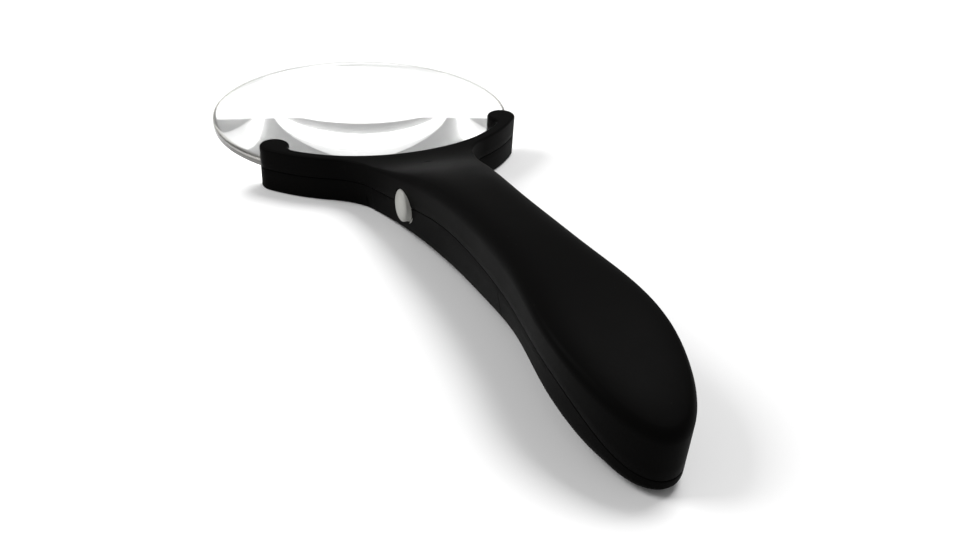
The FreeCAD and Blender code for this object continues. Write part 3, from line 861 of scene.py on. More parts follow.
    def parts(self, lens: "Lens", button: "PushButton", frame: "Frame") -> dict[str, bpy.types.Object]:
        """Build the three shells.

        Args:
            lens: the lens, whose seat is cut.
            button: the push button, whose hole is cut.
            frame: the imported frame, which says where screws and lights are.

        Returns:
            The shells by name.
        """
        upper = self.half_body(upper=True).make("upper_shell_body")
        front = self.half_body(upper=False).make("front_lower_shell_body")
        cover = front.copy()
        cover.data = front.data.copy()
        cover.name = "battery_cover_body"
        bpy.context.scene.collection.objects.link(cover)
        combine(front, self.behind_joint(0.0), Cut.AWAY)
        combine(cover, self.behind_joint(self.joint_gap), Cut.WITHIN)
        for side in (1, -1):
            combine(cover, self.tongue(side), Cut.TOGETHER)
        for reach in self.ridge_reaches:
            combine(front, self.ridge(reach), Cut.TOGETHER)
        for reach, radius in self.post_places:
            y = self.form.lens_y - reach
            plan = np.array([[0.0, y]])
            low, high = self.form.bottom(plan)[0] + 0.6, self.form.top(plan)[0] - 0.6
            seam = self.form.seam(plan)[0]
            combine(front, rod((0, y, low), (0, y, seam - 0.1), (radius, radius)), Cut.TOGETHER)
            combine(upper, rod((0, y, seam), (0, y, high), (radius - 0.6, radius - 0.6)), Cut.TOGETHER)
        for shell in (upper, front):
            combine(shell, lens.seat(), Cut.AWAY)
            combine(shell, button.hole(), Cut.AWAY)
        for bore in frame.screw_bores() + frame.light_bores():
            combine(front, bore, Cut.AWAY)
        return {"upper_shell": upper, "front_lower_shell": front, "battery_cover": cover}


@dataclass
class Frame:
    """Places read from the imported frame, in millimetres."""

    lens_y: float
    head_clear: float = 0.2
    bore_foot: float = -3.0
    light_lean_deg: float = 35.0
    light_reach: float = 60.8
    light_tip_z: float = 0.7
    light_flange: float = 1.8
    light_radii: tuple[float, ...] = (1.6, 1.6, 1.6, 1.75, 2.6)
    light_run: tuple[float, float] = (9.0, 2.2)

    def corners(self, node: str) -> tuple[Vector, Vector]:
        """Lowest and highest corner of a node."""
        low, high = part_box(node)
        return low / MM, high / MM

    def middle(self, node: str) -> Vector:
        """Middle of a node's box."""
        low, high = self.corners(node)
        return (low + high) / 2

    def screw_bores(self) -> list[Shape]:
        """Counterbores under the screw heads, open downwards."""
        heads = []
        for node in ("neck_screw", "handle_screw"):
            low, high = self.corners(node)
            heads.append(((low.x + high.x) / 2, (low.y + high.y) / 2, low.z, (high.x - low.x) / 2))
        low, high = self.corners("fork_screws")
        half = (high.y - low.y) / 2
        heads += [(x, (low.y + high.y) / 2, low.z, half) for x in (low.x + half, high.x - half)]
        bores = []
        for x, y, head_z, half in heads:
            radius = half + self.head_clear
            bores.append(rod((x, y, self.bore_foot), (x, y, head_z + 0.75 * radius), (radius, radius)))
        return bores

    def light_bores(self) -> list[Shape]:
        """Slanted bores for the three lights, with a wider mouth."""
        low, high = self.corners("leds")
        lean = math.radians(self.light_lean_deg)
        along = Vector((0, math.sin(lean), -math.cos(lean)))
        bores = []
        up, down = self.light_run
        for x in (low.x + self.light_flange, (low.x + high.x) / 2, high.x - self.light_flange):
            tip = Vector((x, self.lens_y - self.light_reach, self.light_tip_z))
            bores.append(rod(tip - along * up, tip + along * down, self.light_radii))
        return bores


@dataclass
class Lens:
    """Biconvex clear disc with polished faces and a plain edge."""

    centre: Vector
    radius: float
    edge: float = 2.8
    sag: float = 5.5
    bevel: float = 0.28
    rings: int = 36
    seat_gap: float = 0.08
    seat_points: int = 160
    piece_points: int = 256

    def face(self, share: float, clear: float) -> tuple[float, float]:
        """Radius and height above the middle plane on the upper face.

        Args:
            share: 0 at the edge, 1 in the middle.
            clear: clearance all round.

        Returns:
            (radius, height).
        """
        ball = (self.radius**2 + self.sag**2) / (2 * self.sag)
        r = (self.radius + clear) * (1 - share)
        rise = math.sqrt(ball**2 - r**2) - (ball - self.sag)
        return r, self.edge / 2 + clear + max(rise, 0.0)

    def profile(self, clear: float) -> list[tuple[float, float]]:
        """Section from the lower pole round the edge to the upper pole."""
        upper = [self.face(k / self.rings, clear) for k in range(self.rings + 1)]
        if not clear:
            rim = upper[0][1]
            near = upper[0][0]
            soft = [(near, rim - self.bevel), (near - 0.3 * self.bevel, rim - 0.3 * self.bevel)]
            upper = soft + [(near - self.bevel, rim + 0.05)] + upper[1:]
        return [(r, -h) for r, h in reversed(upper)] + upper

    def seat(self) -> Shape:
        """Space the lens needs in the shells."""
        return turned(self.profile(self.seat_gap), self.centre, self.seat_points)

    def piece(self) -> bpy.types.Object:
        """The lens as an object."""
        return turned(self.profile(0.0), self.centre, self.piece_points).make("lens_disc")


@dataclass
class PushButton:
    """Oval push button: domed face, retaining flange and stem."""

    centre: Vector
    apex_x: float
    end_x: float
    half_long: float
    half_high: float
    flange_x: float = -11.6
    flange: float = 0.8
    dome: float = 1.55
    gap: float = 0.22
    stem: float = 1.6
    flange_thick: float = 0.9

    def hole(self) -> Shape:
        """Opening in the shells for the button and, behind the wall, its flange."""
        ovals = [
            (-22.0, self.gap + 0.5), (-14.2, self.gap), (self.flange_x, self.gap),
            (self.flange_x, self.flange + 0.3), (self.flange_x + 4.0, self.flange + 0.3),
        ]  # fmt: skip
        shape = Shape()
        rows = []
        for x, grow in ovals:
            half = (self.half_long + grow, self.half_high + grow)
            rows.append(oval((x, self.centre.y, self.centre.z), half, OVAL_POINTS))
        numbers = shape.stack(rows)
        shape.fan(numbers[0], (ovals[0][0], self.centre.y, self.centre.z))
        shape.fan(numbers[-1], (ovals[-1][0], self.centre.y, self.centre.z))
        return shape

    def piece(self) -> bpy.types.Object:
        """The button as an object."""
        steps = [(math.cos(a), 1 - math.sin(a)) for a in np.radians(np.linspace(0, 84, 15))]
        ovals = [(self.apex_x + self.dome * h**1.15, w, 0.0) for w, h in reversed(steps)]
        front_x = self.flange_x - self.flange_thick
        ovals += [(front_x, 1.0, 0.0), (front_x, 1.0, self.flange)]
        ovals += [(self.flange_x, 1.0, self.flange)]
        rows = []
        for x, share, grow in ovals:
            half = (self.half_long * share + grow, self.half_high * share + grow)
            rows.append(oval((x, self.centre.y, self.centre.z), half, OVAL_POINTS))
        stem = (self.stem, self.stem)
        rows.append(oval((self.flange_x, self.centre.y, self.centre.z), stem, OVAL_POINTS))
        rows.append(oval((self.end_x, self.centre.y, self.centre.z), stem, OVAL_POINTS))
        shape = Shape()
        numbers = shape.stack(rows)
        shape.fan(numbers[0], (self.apex_x, self.centre.y, self.centre.z))
        shape.fan(numbers[-1], (self.end_x, self.centre.y, self.centre.z))
        return shape.make("push_button")


# ---- finishes ----------------------------------------------------------------------------
class Tree:
    """Short way to write a node tree."""

    def __init__(self, tree: bpy.types.NodeTree) -> None:
        """Hold the tree that is written."""
        self.tree = tree

    def node(self, kind: str, **values: object) -> bpy.types.Node:
        """Add a node.

        Args:
            kind: the node's type.
            values: properties of the node, or input values by name.

        Returns:
            The node.
        """
        made = self.tree.nodes.new(kind)
        for name, value in values.items():
            if hasattr(made, name):
                setattr(made, name, value)
            else:
                made.inputs[name.replace("_", " ")].default_value = value
        return made

    def link(self, start: bpy.types.NodeSocket, end: bpy.types.NodeSocket) -> None:
        """Join two sockets."""
        self.tree.links.new(start, end)

    def math(self, how: str, *values: object) -> bpy.types.NodeSocket:
        """Add a sum.

        Args:
            how: the operation.
            values: numbers or sockets.

        Returns:
            The result.
        """
        made = self.node("ShaderNodeMath", operation=how)
        for place, value in zip(made.inputs, values):
            if isinstance(value, bpy.types.NodeSocket):
                self.link(value, place)
            else:
                place.default_value = value
        return made.outputs[0]

    def spread(self, value: bpy.types.NodeSocket, low: object, high: object) -> bpy.types.NodeSocket:
        """Stretch a value of 0.3 to 0.7 over a range."""
        made = self.node("ShaderNodeMapRange")
        made.inputs["From Min"].default_value = 0.3
        made.inputs["From Max"].default_value = 0.7
        for name, end in (("To Min", low), ("To Max", high)):
            if isinstance(end, bpy.types.NodeSocket):
                self.link(end, made.inputs[name])
            else:
                made.inputs[name].default_value = end
        self.link(value, made.inputs["Value"])
        return made.outputs[0]

    def noise(self, at: bpy.types.NodeSocket, scale: object, detail: float = 3.0) -> bpy.types.NodeSocket:
        """Smooth noise about 0.5.

        Args:
            at: where it is read.
            scale: a number or a socket.
            detail: how many finer layers it has.

        Returns:
            The noise.
        """
        made = self.node("ShaderNodeTexNoise", Detail=detail)
        self.link(at, made.inputs["Vector"])
        if isinstance(scale, bpy.types.NodeSocket):
            self.link(scale, made.inputs["Scale"])
        else:
            made.inputs["Scale"].default_value = scale
        return made.outputs["Fac"]

    def mix(self, share: object, one: object, two: object, how: str = "MIX") -> bpy.types.NodeSocket:
        """Mix two colours.

        Args:
            share: share of the second, a number or a socket.
            one: first colour, a value or a socket.
            two: second colour, a value or a socket.
            how: the blend type.

        Returns:
            The colour.
        """
        made = self.node("ShaderNodeMix", data_type="RGBA", blend_type=how)
        for place, value in ((made.inputs[0], share), (made.inputs[6], one), (made.inputs[7], two)):
            if isinstance(value, bpy.types.NodeSocket):
                self.link(value, place)
            else:
                place.default_value = value
        return made.outputs[2]

    def choose(self, share: bpy.types.NodeSocket, shader: bpy.types.Node, other: bpy.types.Node) -> None:
        """Show one shader or another on the material's surface.

        Args:
            share: 0 where the first shows, 1 where the other does.
            shader: the first shader.
            other: the other shader.
        """
        choice = self.node("ShaderNodeMixShader")
        self.link(share, choice.inputs[0])
        self.link(shader.outputs[0], choice.inputs[1])
        self.link(other.outputs[0], choice.inputs[2])
        output = next(n for n in self.tree.nodes if n.type == "OUTPUT_MATERIAL")
        self.link(choice.outputs[0], output.inputs["Surface"])


class Groups:
    """Node groups that several finishes share."""

    def __init__(self) -> None:
        """Build each group once."""
        self.grain = self.build("moulded_grain", self.write_grain, {
            "Vector": "NodeSocketVector", "Scale": "NodeSocketFloat",
            "Rough Low": "NodeSocketFloat", "Rough High": "NodeSocketFloat",
        }, {"Height": "NodeSocketFloat", "Roughness": "NodeSocketFloat"})  # fmt: skip
        self.drift = self.build("colour_drift", self.write_drift, {
            "Vector": "NodeSocketVector", "Scale": "NodeSocketFloat",
            "Colour": "NodeSocketColor", "Amount": "NodeSocketFloat",
        }, {"Colour": "NodeSocketColor"})  # fmt: skip
        self.dust = self.build("fine_dust", self.write_dust, {
            "Vector": "NodeSocketVector", "Scale": "NodeSocketFloat", "Colour": "NodeSocketColor",
            "Dust": "NodeSocketColor", "Amount": "NodeSocketFloat",
        }, {"Colour": "NodeSocketColor"})  # fmt: skip
        self.streaks = self.build("drawn_streaks", self.write_streaks, {
            "Vector": "NodeSocketVector", "Scale": "NodeSocketFloat",
            "Rough Low": "NodeSocketFloat", "Rough High": "NodeSocketFloat",
        }, {"Height": "NodeSocketFloat", "Roughness": "NodeSocketFloat"})  # fmt: skip

    def build(
        self,
        name: str,
        write: Callable[[Tree, bpy.types.Node, bpy.types.Node], None],
        inputs: dict[str, str],
        outputs: dict[str, str],
    ) -> bpy.types.NodeTree:
        """Make a group with named sockets.

        Args:
            name: the group's name.
            write: fills the group, given its tree and its two end nodes.
            inputs: socket types by name.
            outputs: socket types by name.

        Returns:
            The group.
        """
        group = bpy.data.node_groups.new(name, "ShaderNodeTree")
        for label, kind in inputs.items():
            group.interface.new_socket(name=label, in_out="INPUT", socket_type=kind)
        for label, kind in outputs.items():
            group.interface.new_socket(name=label, in_out="OUTPUT", socket_type=kind)
        tree = Tree(group)
        write(tree, tree.node("NodeGroupInput"), tree.node("NodeGroupOutput"))
        return group

    def write_grain(self, tree: Tree, given: bpy.types.Node, result: bpy.types.Node) -> None:
        """Fine moulded grain, with slow changes of gloss."""
        at, scale = given.outputs["Vector"], given.outputs["Scale"]
        fine = tree.noise(at, scale, 2.0)
        coarse = tree.noise(at, tree.math("MULTIPLY", scale, 0.31), 2.0)
        tree.link(tree.math("ADD", fine, tree.math("MULTIPLY", coarse, 0.6)), result.inputs["Height"])
        slow = tree.noise(at, tree.math("MULTIPLY", scale, 0.012), 4.0)
        both = tree.math("ADD", tree.math("MULTIPLY", slow, 0.75), tree.math("MULTIPLY", fine, 0.25))
        rough = tree.spread(both, given.outputs["Rough Low"], given.outputs["Rough High"])
        tree.link(rough, result.inputs["Roughness"])

    def write_drift(self, tree: Tree, given: bpy.types.Node, result: bpy.types.Node) -> None:
        """Slow lighter and darker places in a colour."""
        slow = tree.noise(given.outputs["Vector"], given.outputs["Scale"], 4.0)
        swing = tree.math("MULTIPLY", tree.math("SUBTRACT", slow, 0.5), given.outputs["Amount"])
        tint = tree.node("ShaderNodeHueSaturation")
        tree.link(tree.math("ADD", swing, 1.0), tint.inputs["Value"])
        tree.link(given.outputs["Colour"], tint.inputs["Color"])
        tree.link(tint.outputs[0], result.inputs["Colour"])

    def write_dust(self, tree: Tree, given: bpy.types.Node, result: bpy.types.Node) -> None:
        """Sparse specks on what faces up."""
        cells = tree.node("ShaderNodeTexVoronoi")
        tree.link(given.outputs["Vector"], cells.inputs["Vector"])
        tree.link(given.outputs["Scale"], cells.inputs["Scale"])
        speck = tree.math("LESS_THAN", cells.outputs["Distance"], 0.09)
        part = tree.node("ShaderNodeSeparateXYZ")
        tree.link(cells.outputs["Color"], part.inputs[0])
        rare = tree.math("GREATER_THAN", part.outputs[0], 0.86)
        lie = tree.node("ShaderNodeSeparateXYZ")
        tree.link(tree.node("ShaderNodeNewGeometry").outputs["Normal"], lie.inputs[0])
        up = tree.math("MAXIMUM", lie.outputs[2], 0.0)
        share = tree.math("MULTIPLY", tree.math("MULTIPLY", speck, rare), up)
        share = tree.math("MULTIPLY", share, given.outputs["Amount"])
        tree.link(tree.mix(share, given.outputs["Colour"], given.outputs["Dust"]), result.inputs["Colour"])

    def write_streaks(self, tree: Tree, given: bpy.types.Node, result: bpy.types.Node) -> None:
        """Fine streaks of drawn or plated metal."""
        longer = tree.node("ShaderNodeMapping")
        longer.inputs["Scale"].default_value = (1.0, 0.08, 1.0)
        tree.link(given.outputs["Vector"], longer.inputs["Vector"])
        fine = tree.noise(longer.outputs[0], given.outputs["Scale"], 4.0)
        spots = tree.noise(given.outputs["Vector"], tree.math("MULTIPLY", given.outputs["Scale"], 0.2), 3.0)
        tree.link(fine, result.inputs["Height"])
        both = tree.math("ADD", tree.math("MULTIPLY", fine, 0.6), tree.math("MULTIPLY", spots, 0.4))
        rough = tree.spread(both, given.outputs["Rough Low"], given.outputs["Rough High"])
        tree.link(rough, result.inputs["Roughness"])

    def place(self, tree: Tree, group: bpy.types.NodeTree, **values: object) -> bpy.types.Node:
        """Put a group into a tree, read at the object's own coordinates.

        Args:
            tree: where it goes.
            group: the group.
            values: input values or sockets by name.

        Returns:
            The group's node.
        """
        made = tree.node("ShaderNodeGroup")
        made.node_tree = group
        where = tree.node("ShaderNodeTexCoord")
        tree.link(where.outputs["Object"], made.inputs["Vector"])
        for name, value in values.items():
            place = made.inputs[name.replace("_", " ")]
            if isinstance(value, bpy.types.NodeSocket):
                tree.link(value, place)
            else:
                place.default_value = value
        return made


def started(name: str) -> tuple[bpy.types.Material, Tree, bpy.types.Node]:
    """New material with one Principled shader.

    Args:
        name: the material's name.

    Returns:
        The material, its tree and the shader node.
    """
    material = bpy.data.materials.new(name)
    material.use_nodes = True
    shader = material.node_tree.nodes["Principled BSDF"]
    return material, Tree(material.node_tree), shader


def bump(
    tree: Tree, height: bpy.types.NodeSocket, strength: float, depth: float, shader: bpy.types.Node
) -> None:
    """Feed a height to a shader's normal.

    Args:
        tree: the material's tree.
        height: the height.
        strength: how strongly it shows.
        depth: height of the relief, in metres.
        shader: the shader.
    """
    node = tree.node("ShaderNodeBump", Strength=strength, Distance=depth)
    tree.link(height, node.inputs["Height"])
    tree.link(node.outputs[0], shader.inputs["Normal"])


@dataclass(frozen=True)
class Moulded:
    """Moulded, painted or rubber surface."""

    name: str
    colour: Colour
    rough: tuple[float, float]
    grain: float = 2600.0
    relief: float = 0.00002
    strength: float = 0.25
    specular: float = 0.5
    coat: float = 0.0
    drift: float = 0.25
    dust: float = 0.0
    dust_colour: Colour = (0.35, 0.34, 0.32)

    def material(self, groups: Groups) -> bpy.types.Material:
        """Write the finish.

        Args:
            groups: the shared node groups.

        Returns:
            The material.
        """
        material, tree, shader = started(self.name)
        colour = groups.place(tree, groups.drift, Scale=60.0, Colour=(*self.colour, 1), Amount=self.drift)
        colour = colour.outputs[0]
        if self.dust:
            grey = (*self.dust_colour, 1)
            specks = groups.place(tree, groups.dust, Scale=420.0, Colour=colour, Dust=grey, Amount=self.dust)
            colour = specks.outputs[0]
        tree.link(colour, shader.inputs["Base Color"])
        low, high = self.rough
        grain = groups.place(tree, groups.grain, Scale=self.grain, Rough_Low=low, Rough_High=high)
        tree.link(grain.outputs["Roughness"], shader.inputs["Roughness"])
        bump(tree, grain.outputs["Height"], self.strength, self.relief, shader)
        shader.inputs["Specular IOR Level"].default_value = self.specular
        shader.inputs["Coat Weight"].default_value = self.coat
        shader.inputs["Coat Roughness"].default_value = 0.12
        return material


@dataclass(frozen=True)
class Metal:
    """Plated or drawn metal."""

    name: str
    colour: Colour
    rough: tuple[float, float]
    scale: float = 1500.0
    tarnish: Colour = (0.2, 0.17, 0.13)

    def material(self, groups: Groups) -> bpy.types.Material:
        """Write the finish.

        Args:
            groups: the shared node groups.

        Returns:
            The material.
        """
        material, tree, shader = started(self.name)
        where = tree.node("ShaderNodeTexCoord").outputs["Object"]
        stain = tree.spread(tree.noise(where, 900.0, 4.0), 0.0, 0.35)
        tree.link(tree.mix(stain, (*self.colour, 1), (*self.tarnish, 1)), shader.inputs["Base Color"])
        low, high = self.rough
        lines = groups.place(tree, groups.streaks, Scale=self.scale, Rough_Low=low, Rough_High=high)
        tree.link(lines.outputs["Roughness"], shader.inputs["Roughness"])
        bump(tree, lines.outputs["Height"], 0.3, 0.00002, shader)
        shader.inputs["Metallic"].default_value = 1.0
        return material


@dataclass(frozen=True)
class Clear:
    """Polished clear plastic that lets lamp light through; a rim band, where given, gets painted shade and
    casts a darker shadow.
    """

    name: str
    colour: Colour
    refraction: float
    haze: tuple[float, float] = (0.0, 0.02)
    passes: Colour = (0.97, 0.975, 0.97)
    edge: tuple[float, float, float] | None = None
    # Rim band of painted shade: its width, the darker base colour painted there, and the lamp light it lets
    # through, which casts a darker ring of shadow.
    rim_shade_width: float = 0.0016
    painted_rim_shade: Colour = (0.5, 0.49, 0.46)
    rim_shadow_passes: Colour = (0.4, 0.4, 0.39)

    def rim_shade_share(self, tree: Tree, edge: tuple[float, float, float]) -> bpy.types.NodeSocket:
        """How near a place is to the round edge of a disc, for the band of painted rim shade.

        Args:
            tree: tree to add nodes to.
            edge: the disc's middle across and along, and its radius.

        Returns:
            0 over the polished faces, 1 at the edge.
        """
        place = tree.node("ShaderNodeTexCoord")
        split = tree.node("ShaderNodeSeparateXYZ")
        tree.link(place.outputs["Object"], split.inputs[0])
        across = tree.math("SUBTRACT", split.outputs["X"], edge[0])
        along = tree.math("SUBTRACT", split.outputs["Y"], edge[1])
        square = tree.math("ADD", tree.math("POWER", across, 2.0), tree.math("POWER", along, 2.0))
        nearness = tree.node("ShaderNodeMapRange", interpolation_type="SMOOTHSTEP")
        tree.link(tree.math("SQRT", square), nearness.inputs["Value"])
        nearness.inputs["From Min"].default_value = edge[2] - self.rim_shade_width
        nearness.inputs["From Max"].default_value = edge[2] - self.rim_shade_width / 4
        return nearness.outputs[0]

    def material(self, groups: Groups) -> bpy.types.Material:
        """Write the finish.

        Args:
            groups: the shared node groups.

        Returns:
            The material.
        """
        material, tree, shader = started(self.name)
        shader.inputs["Transmission Weight"].default_value = 1.0
        shader.inputs["IOR"].default_value = self.refraction
        colour = groups.place(tree, groups.drift, Scale=30.0, Colour=(*self.colour, 1), Amount=0.02)
        passes = tree.node("ShaderNodeRGB")
        passes.outputs[0].default_value = (*self.passes, 1)
        tints = [colour.outputs[0], passes.outputs[0]]
        if self.edge is not None:
            # Painted shade darkens the base colour near the rim; the rim also lets less lamp light through,
            # so it casts a darker shadow ring.
            share = self.rim_shade_share(tree, self.edge)
            edges = (self.painted_rim_shade, self.rim_shadow_passes)
            tints = [tree.mix(share, tint, (*edge, 1)) for tint, edge in zip(tints, edges)]
        tree.link(tints[0], shader.inputs["Base Color"])
        low, high = self.haze
        wipe = groups.place(tree, groups.streaks, Scale=60.0, Rough_Low=low, Rough_High=high)
        tree.link(wipe.outputs["Roughness"], shader.inputs["Roughness"])
        bump(tree, wipe.outputs["Height"], 0.004, 0.00001, shader)
        through = tree.node("ShaderNodeBsdfTransparent")
        tree.link(tints[1], through.inputs[0])
        path = tree.node("ShaderNodeLightPath")
        tree.choose(path.outputs["Is Shadow Ray"], shader, through)
        return material


@dataclass(frozen=True)
class Sleeve:
    """Shrink sleeve of a cell, with bare metal at its ends."""

    name: str
    colour: Colour
    band: Colour
    y_low: float
    y_high: float
    nose_first: bool
    metal: Colour = (0.62, 0.6, 0.56)
    band_start: float = 0.74
    bare_start: float = 0.474

    def material(self, groups: Groups) -> bpy.types.Material:
        """Write the finish.

        Args:
            groups: the shared node groups.

        Returns:
            The material.
        """
        material, tree, shader = started(self.name)
        part = tree.node("ShaderNodeSeparateXYZ")
        tree.link(tree.node("ShaderNodeTexCoord").outputs["Object"], part.inputs[0])
        y = part.outputs[1]
        length = self.y_high - self.y_low
        share = tree.math("DIVIDE", tree.math("SUBTRACT", y, self.y_low), length)
        if not self.nose_first:
            share = tree.math("SUBTRACT", 1.0, share)
        banded = tree.math("GREATER_THAN", share, self.band_start)
        end = tree.math("ABSOLUTE", tree.math("SUBTRACT", share, 0.5))
        bare = tree.math("GREATER_THAN", end, self.bare_start)
        wrap = tree.mix(banded, (*self.colour, 1), (*self.band, 1))
        drifted = groups.place(tree, groups.drift, Scale=90.0, Colour=wrap, Amount=0.2)
        tree.link(tree.mix(bare, drifted.outputs[0], (*self.metal, 1)), shader.inputs["Base Color"])
        shine = tree.math("MAXIMUM", bare, tree.math("MULTIPLY", banded, 0.85))
        tree.link(shine, shader.inputs["Metallic"])
        grain = groups.place(tree, groups.grain, Scale=900.0, Rough_Low=0.22, Rough_High=0.38)
        tree.link(grain.outputs["Roughness"], shader.inputs["Roughness"])
        bump(tree, grain.outputs["Height"], 0.15, 0.00002, shader)
        return material


@dataclass(frozen=True)
class Board:
    """Circuit board: solder resist with copper tracks under it and bare pads."""

    name: str = "circuit_board_finish"
    resist: Colour = (0.012, 0.09, 0.035)
    track: Colour = (0.03, 0.17, 0.07)
    pad: Colour = (0.7, 0.62, 0.45)

    def material(self, groups: Groups) -> bpy.types.Material:
        """Write the finish.

        Args:
            groups: the shared node groups.

        Returns:
            The material.
        """
        material, tree, shader = started(self.name)
        where = tree.node("ShaderNodeTexCoord").outputs["Object"]
        tracks = tree.node("ShaderNodeTexBrick", Scale=260.0, Mortar_Size=0.06)
        tree.link(where, tracks.inputs["Vector"])
        pads = tree.node("ShaderNodeTexVoronoi", Scale=420.0)
        tree.link(where, pads.inputs["Vector"])
        pad = tree.math("LESS_THAN", pads.outputs["Distance"], 0.16)
        green = tree.mix(tracks.outputs["Fac"], (*self.track, 1), (*self.resist, 1))
        tree.link(tree.mix(pad, green, (*self.pad, 1)), shader.inputs["Base Color"])
        tree.link(pad, shader.inputs["Metallic"])
        grain = groups.place(tree, groups.grain, Scale=1200.0, Rough_Low=0.25, Rough_High=0.42)
        tree.link(grain.outputs["Roughness"], shader.inputs["Roughness"])
        bump(tree, tracks.outputs["Fac"], 0.3, 0.00003, shader)
        return material


@dataclass
class Wardrobe:
    """Every finish of the magnifier."""

    groups: Groups
    made: dict[str, bpy.types.Material] = field(default_factory=dict)

    def wear(self, piece: bpy.types.Object, finish: Moulded | Metal | Clear | Sleeve | Board) -> None:
        """Give a piece a finish.

        Args:
            piece: the object.
            finish: its finish.
        """
        if finish.name not in self.made:
            self.made[finish.name] = finish.material(self.groups)
        piece.data.materials.clear()
        piece.data.materials.append(self.made[finish.name])


SOFT_TOUCH = Moulded("soft_touch_paint", (0.0021, 0.002, 0.0019), (0.44, 0.58), specular=0.018, dust=0.01)
LENS_CLEAR = Clear("lens_acrylic", (0.985, 0.99, 0.985), 1.49)
BUTTON_GREY = Moulded("button_plastic", (0.40, 0.40, 0.375), (0.38, 0.5), grain=1800.0, drift=0.06)
SLEEVE_GREY = (0.03, 0.035, 0.05)
SLEEVE_COPPER = (0.6, 0.36, 0.18)
NICKEL = Metal("nickel_plate", (0.66, 0.64, 0.6), (0.16, 0.34))
SPRING_WIRE = Metal("spring_wire", (0.6, 0.59, 0.56), (0.14, 0.28), 2400.0)
ZINC = Metal("zinc_screw", (0.5, 0.5, 0.49), (0.24, 0.42), 1800.0)
CARRIED = {
    "lens_gasket": Moulded("gasket_rubber", (0.012, 0.012, 0.012), (0.6, 0.8)),
    "switch_plunger": Moulded("plunger_nylon", (0.72, 0.72, 0.7), (0.35, 0.5), grain=1500.0),
    "switch_body": Moulded("switch_case", (0.02, 0.02, 0.021), (0.25, 0.4), coat=0.2),
    "led_resistor": Moulded("resistor_lacquer", (0.2, 0.42, 0.55), (0.15, 0.3), coat=0.5),
    "switch_board": Board(),
    "led_board": Board(),
    "leds": Clear("led_epoxy", (0.96, 0.93, 0.78), 1.54, (0.02, 0.08)),
    "battery_tray": Moulded("tray_plastic", (0.016, 0.016, 0.017), (0.4, 0.58), grain=1500.0),
    "front_plate_contact": NICKEL,
    "front_spring_contact": NICKEL,
    "rear_link_plate": NICKEL,
    "front_spring": SPRING_WIRE,
    "rear_spring": SPRING_WIRE,
    "fork_screws": ZINC,
    "neck_screw": ZINC,
    "handle_screw": ZINC,
    "tray_screw": ZINC,
    "positive_lead": Moulded("red_insulation", (0.42, 0.015, 0.012), (0.3, 0.45), grain=1200.0),
    "negative_lead": Moulded("black_insulation", (0.014, 0.014, 0.014), (0.3, 0.45), grain=1200.0),
    "led_lead": Moulded("white_insulation", (0.66, 0.66, 0.63), (0.3, 0.45), grain=1200.0),
}


# ---- studio ------------------------------------------------------------------------------
@dataclass(frozen=True)
class Lamp:
    """Softbox aimed at a point."""

    name: str
    place: tuple[float, float, float]
    aim: tuple[float, float, float]
    size: tuple[float, float]
    power: float
    colour: Colour = (1.0, 1.0, 1.0)

    def light(self) -> None:
        """Add the softbox to the scene."""
        data = bpy.data.lights.new(self.name, "AREA")
        data.shape = "RECTANGLE"
        data.size, data.size_y = self.size
        data.energy = self.power
        data.color = self.colour
        lamp = bpy.data.objects.new(self.name, data)
        lamp.location = self.place
        lamp.rotation_euler = (Vector(self.aim) - lamp.location).to_track_quat("-Z", "Y").to_euler()
        bpy.context.scene.collection.objects.link(lamp)


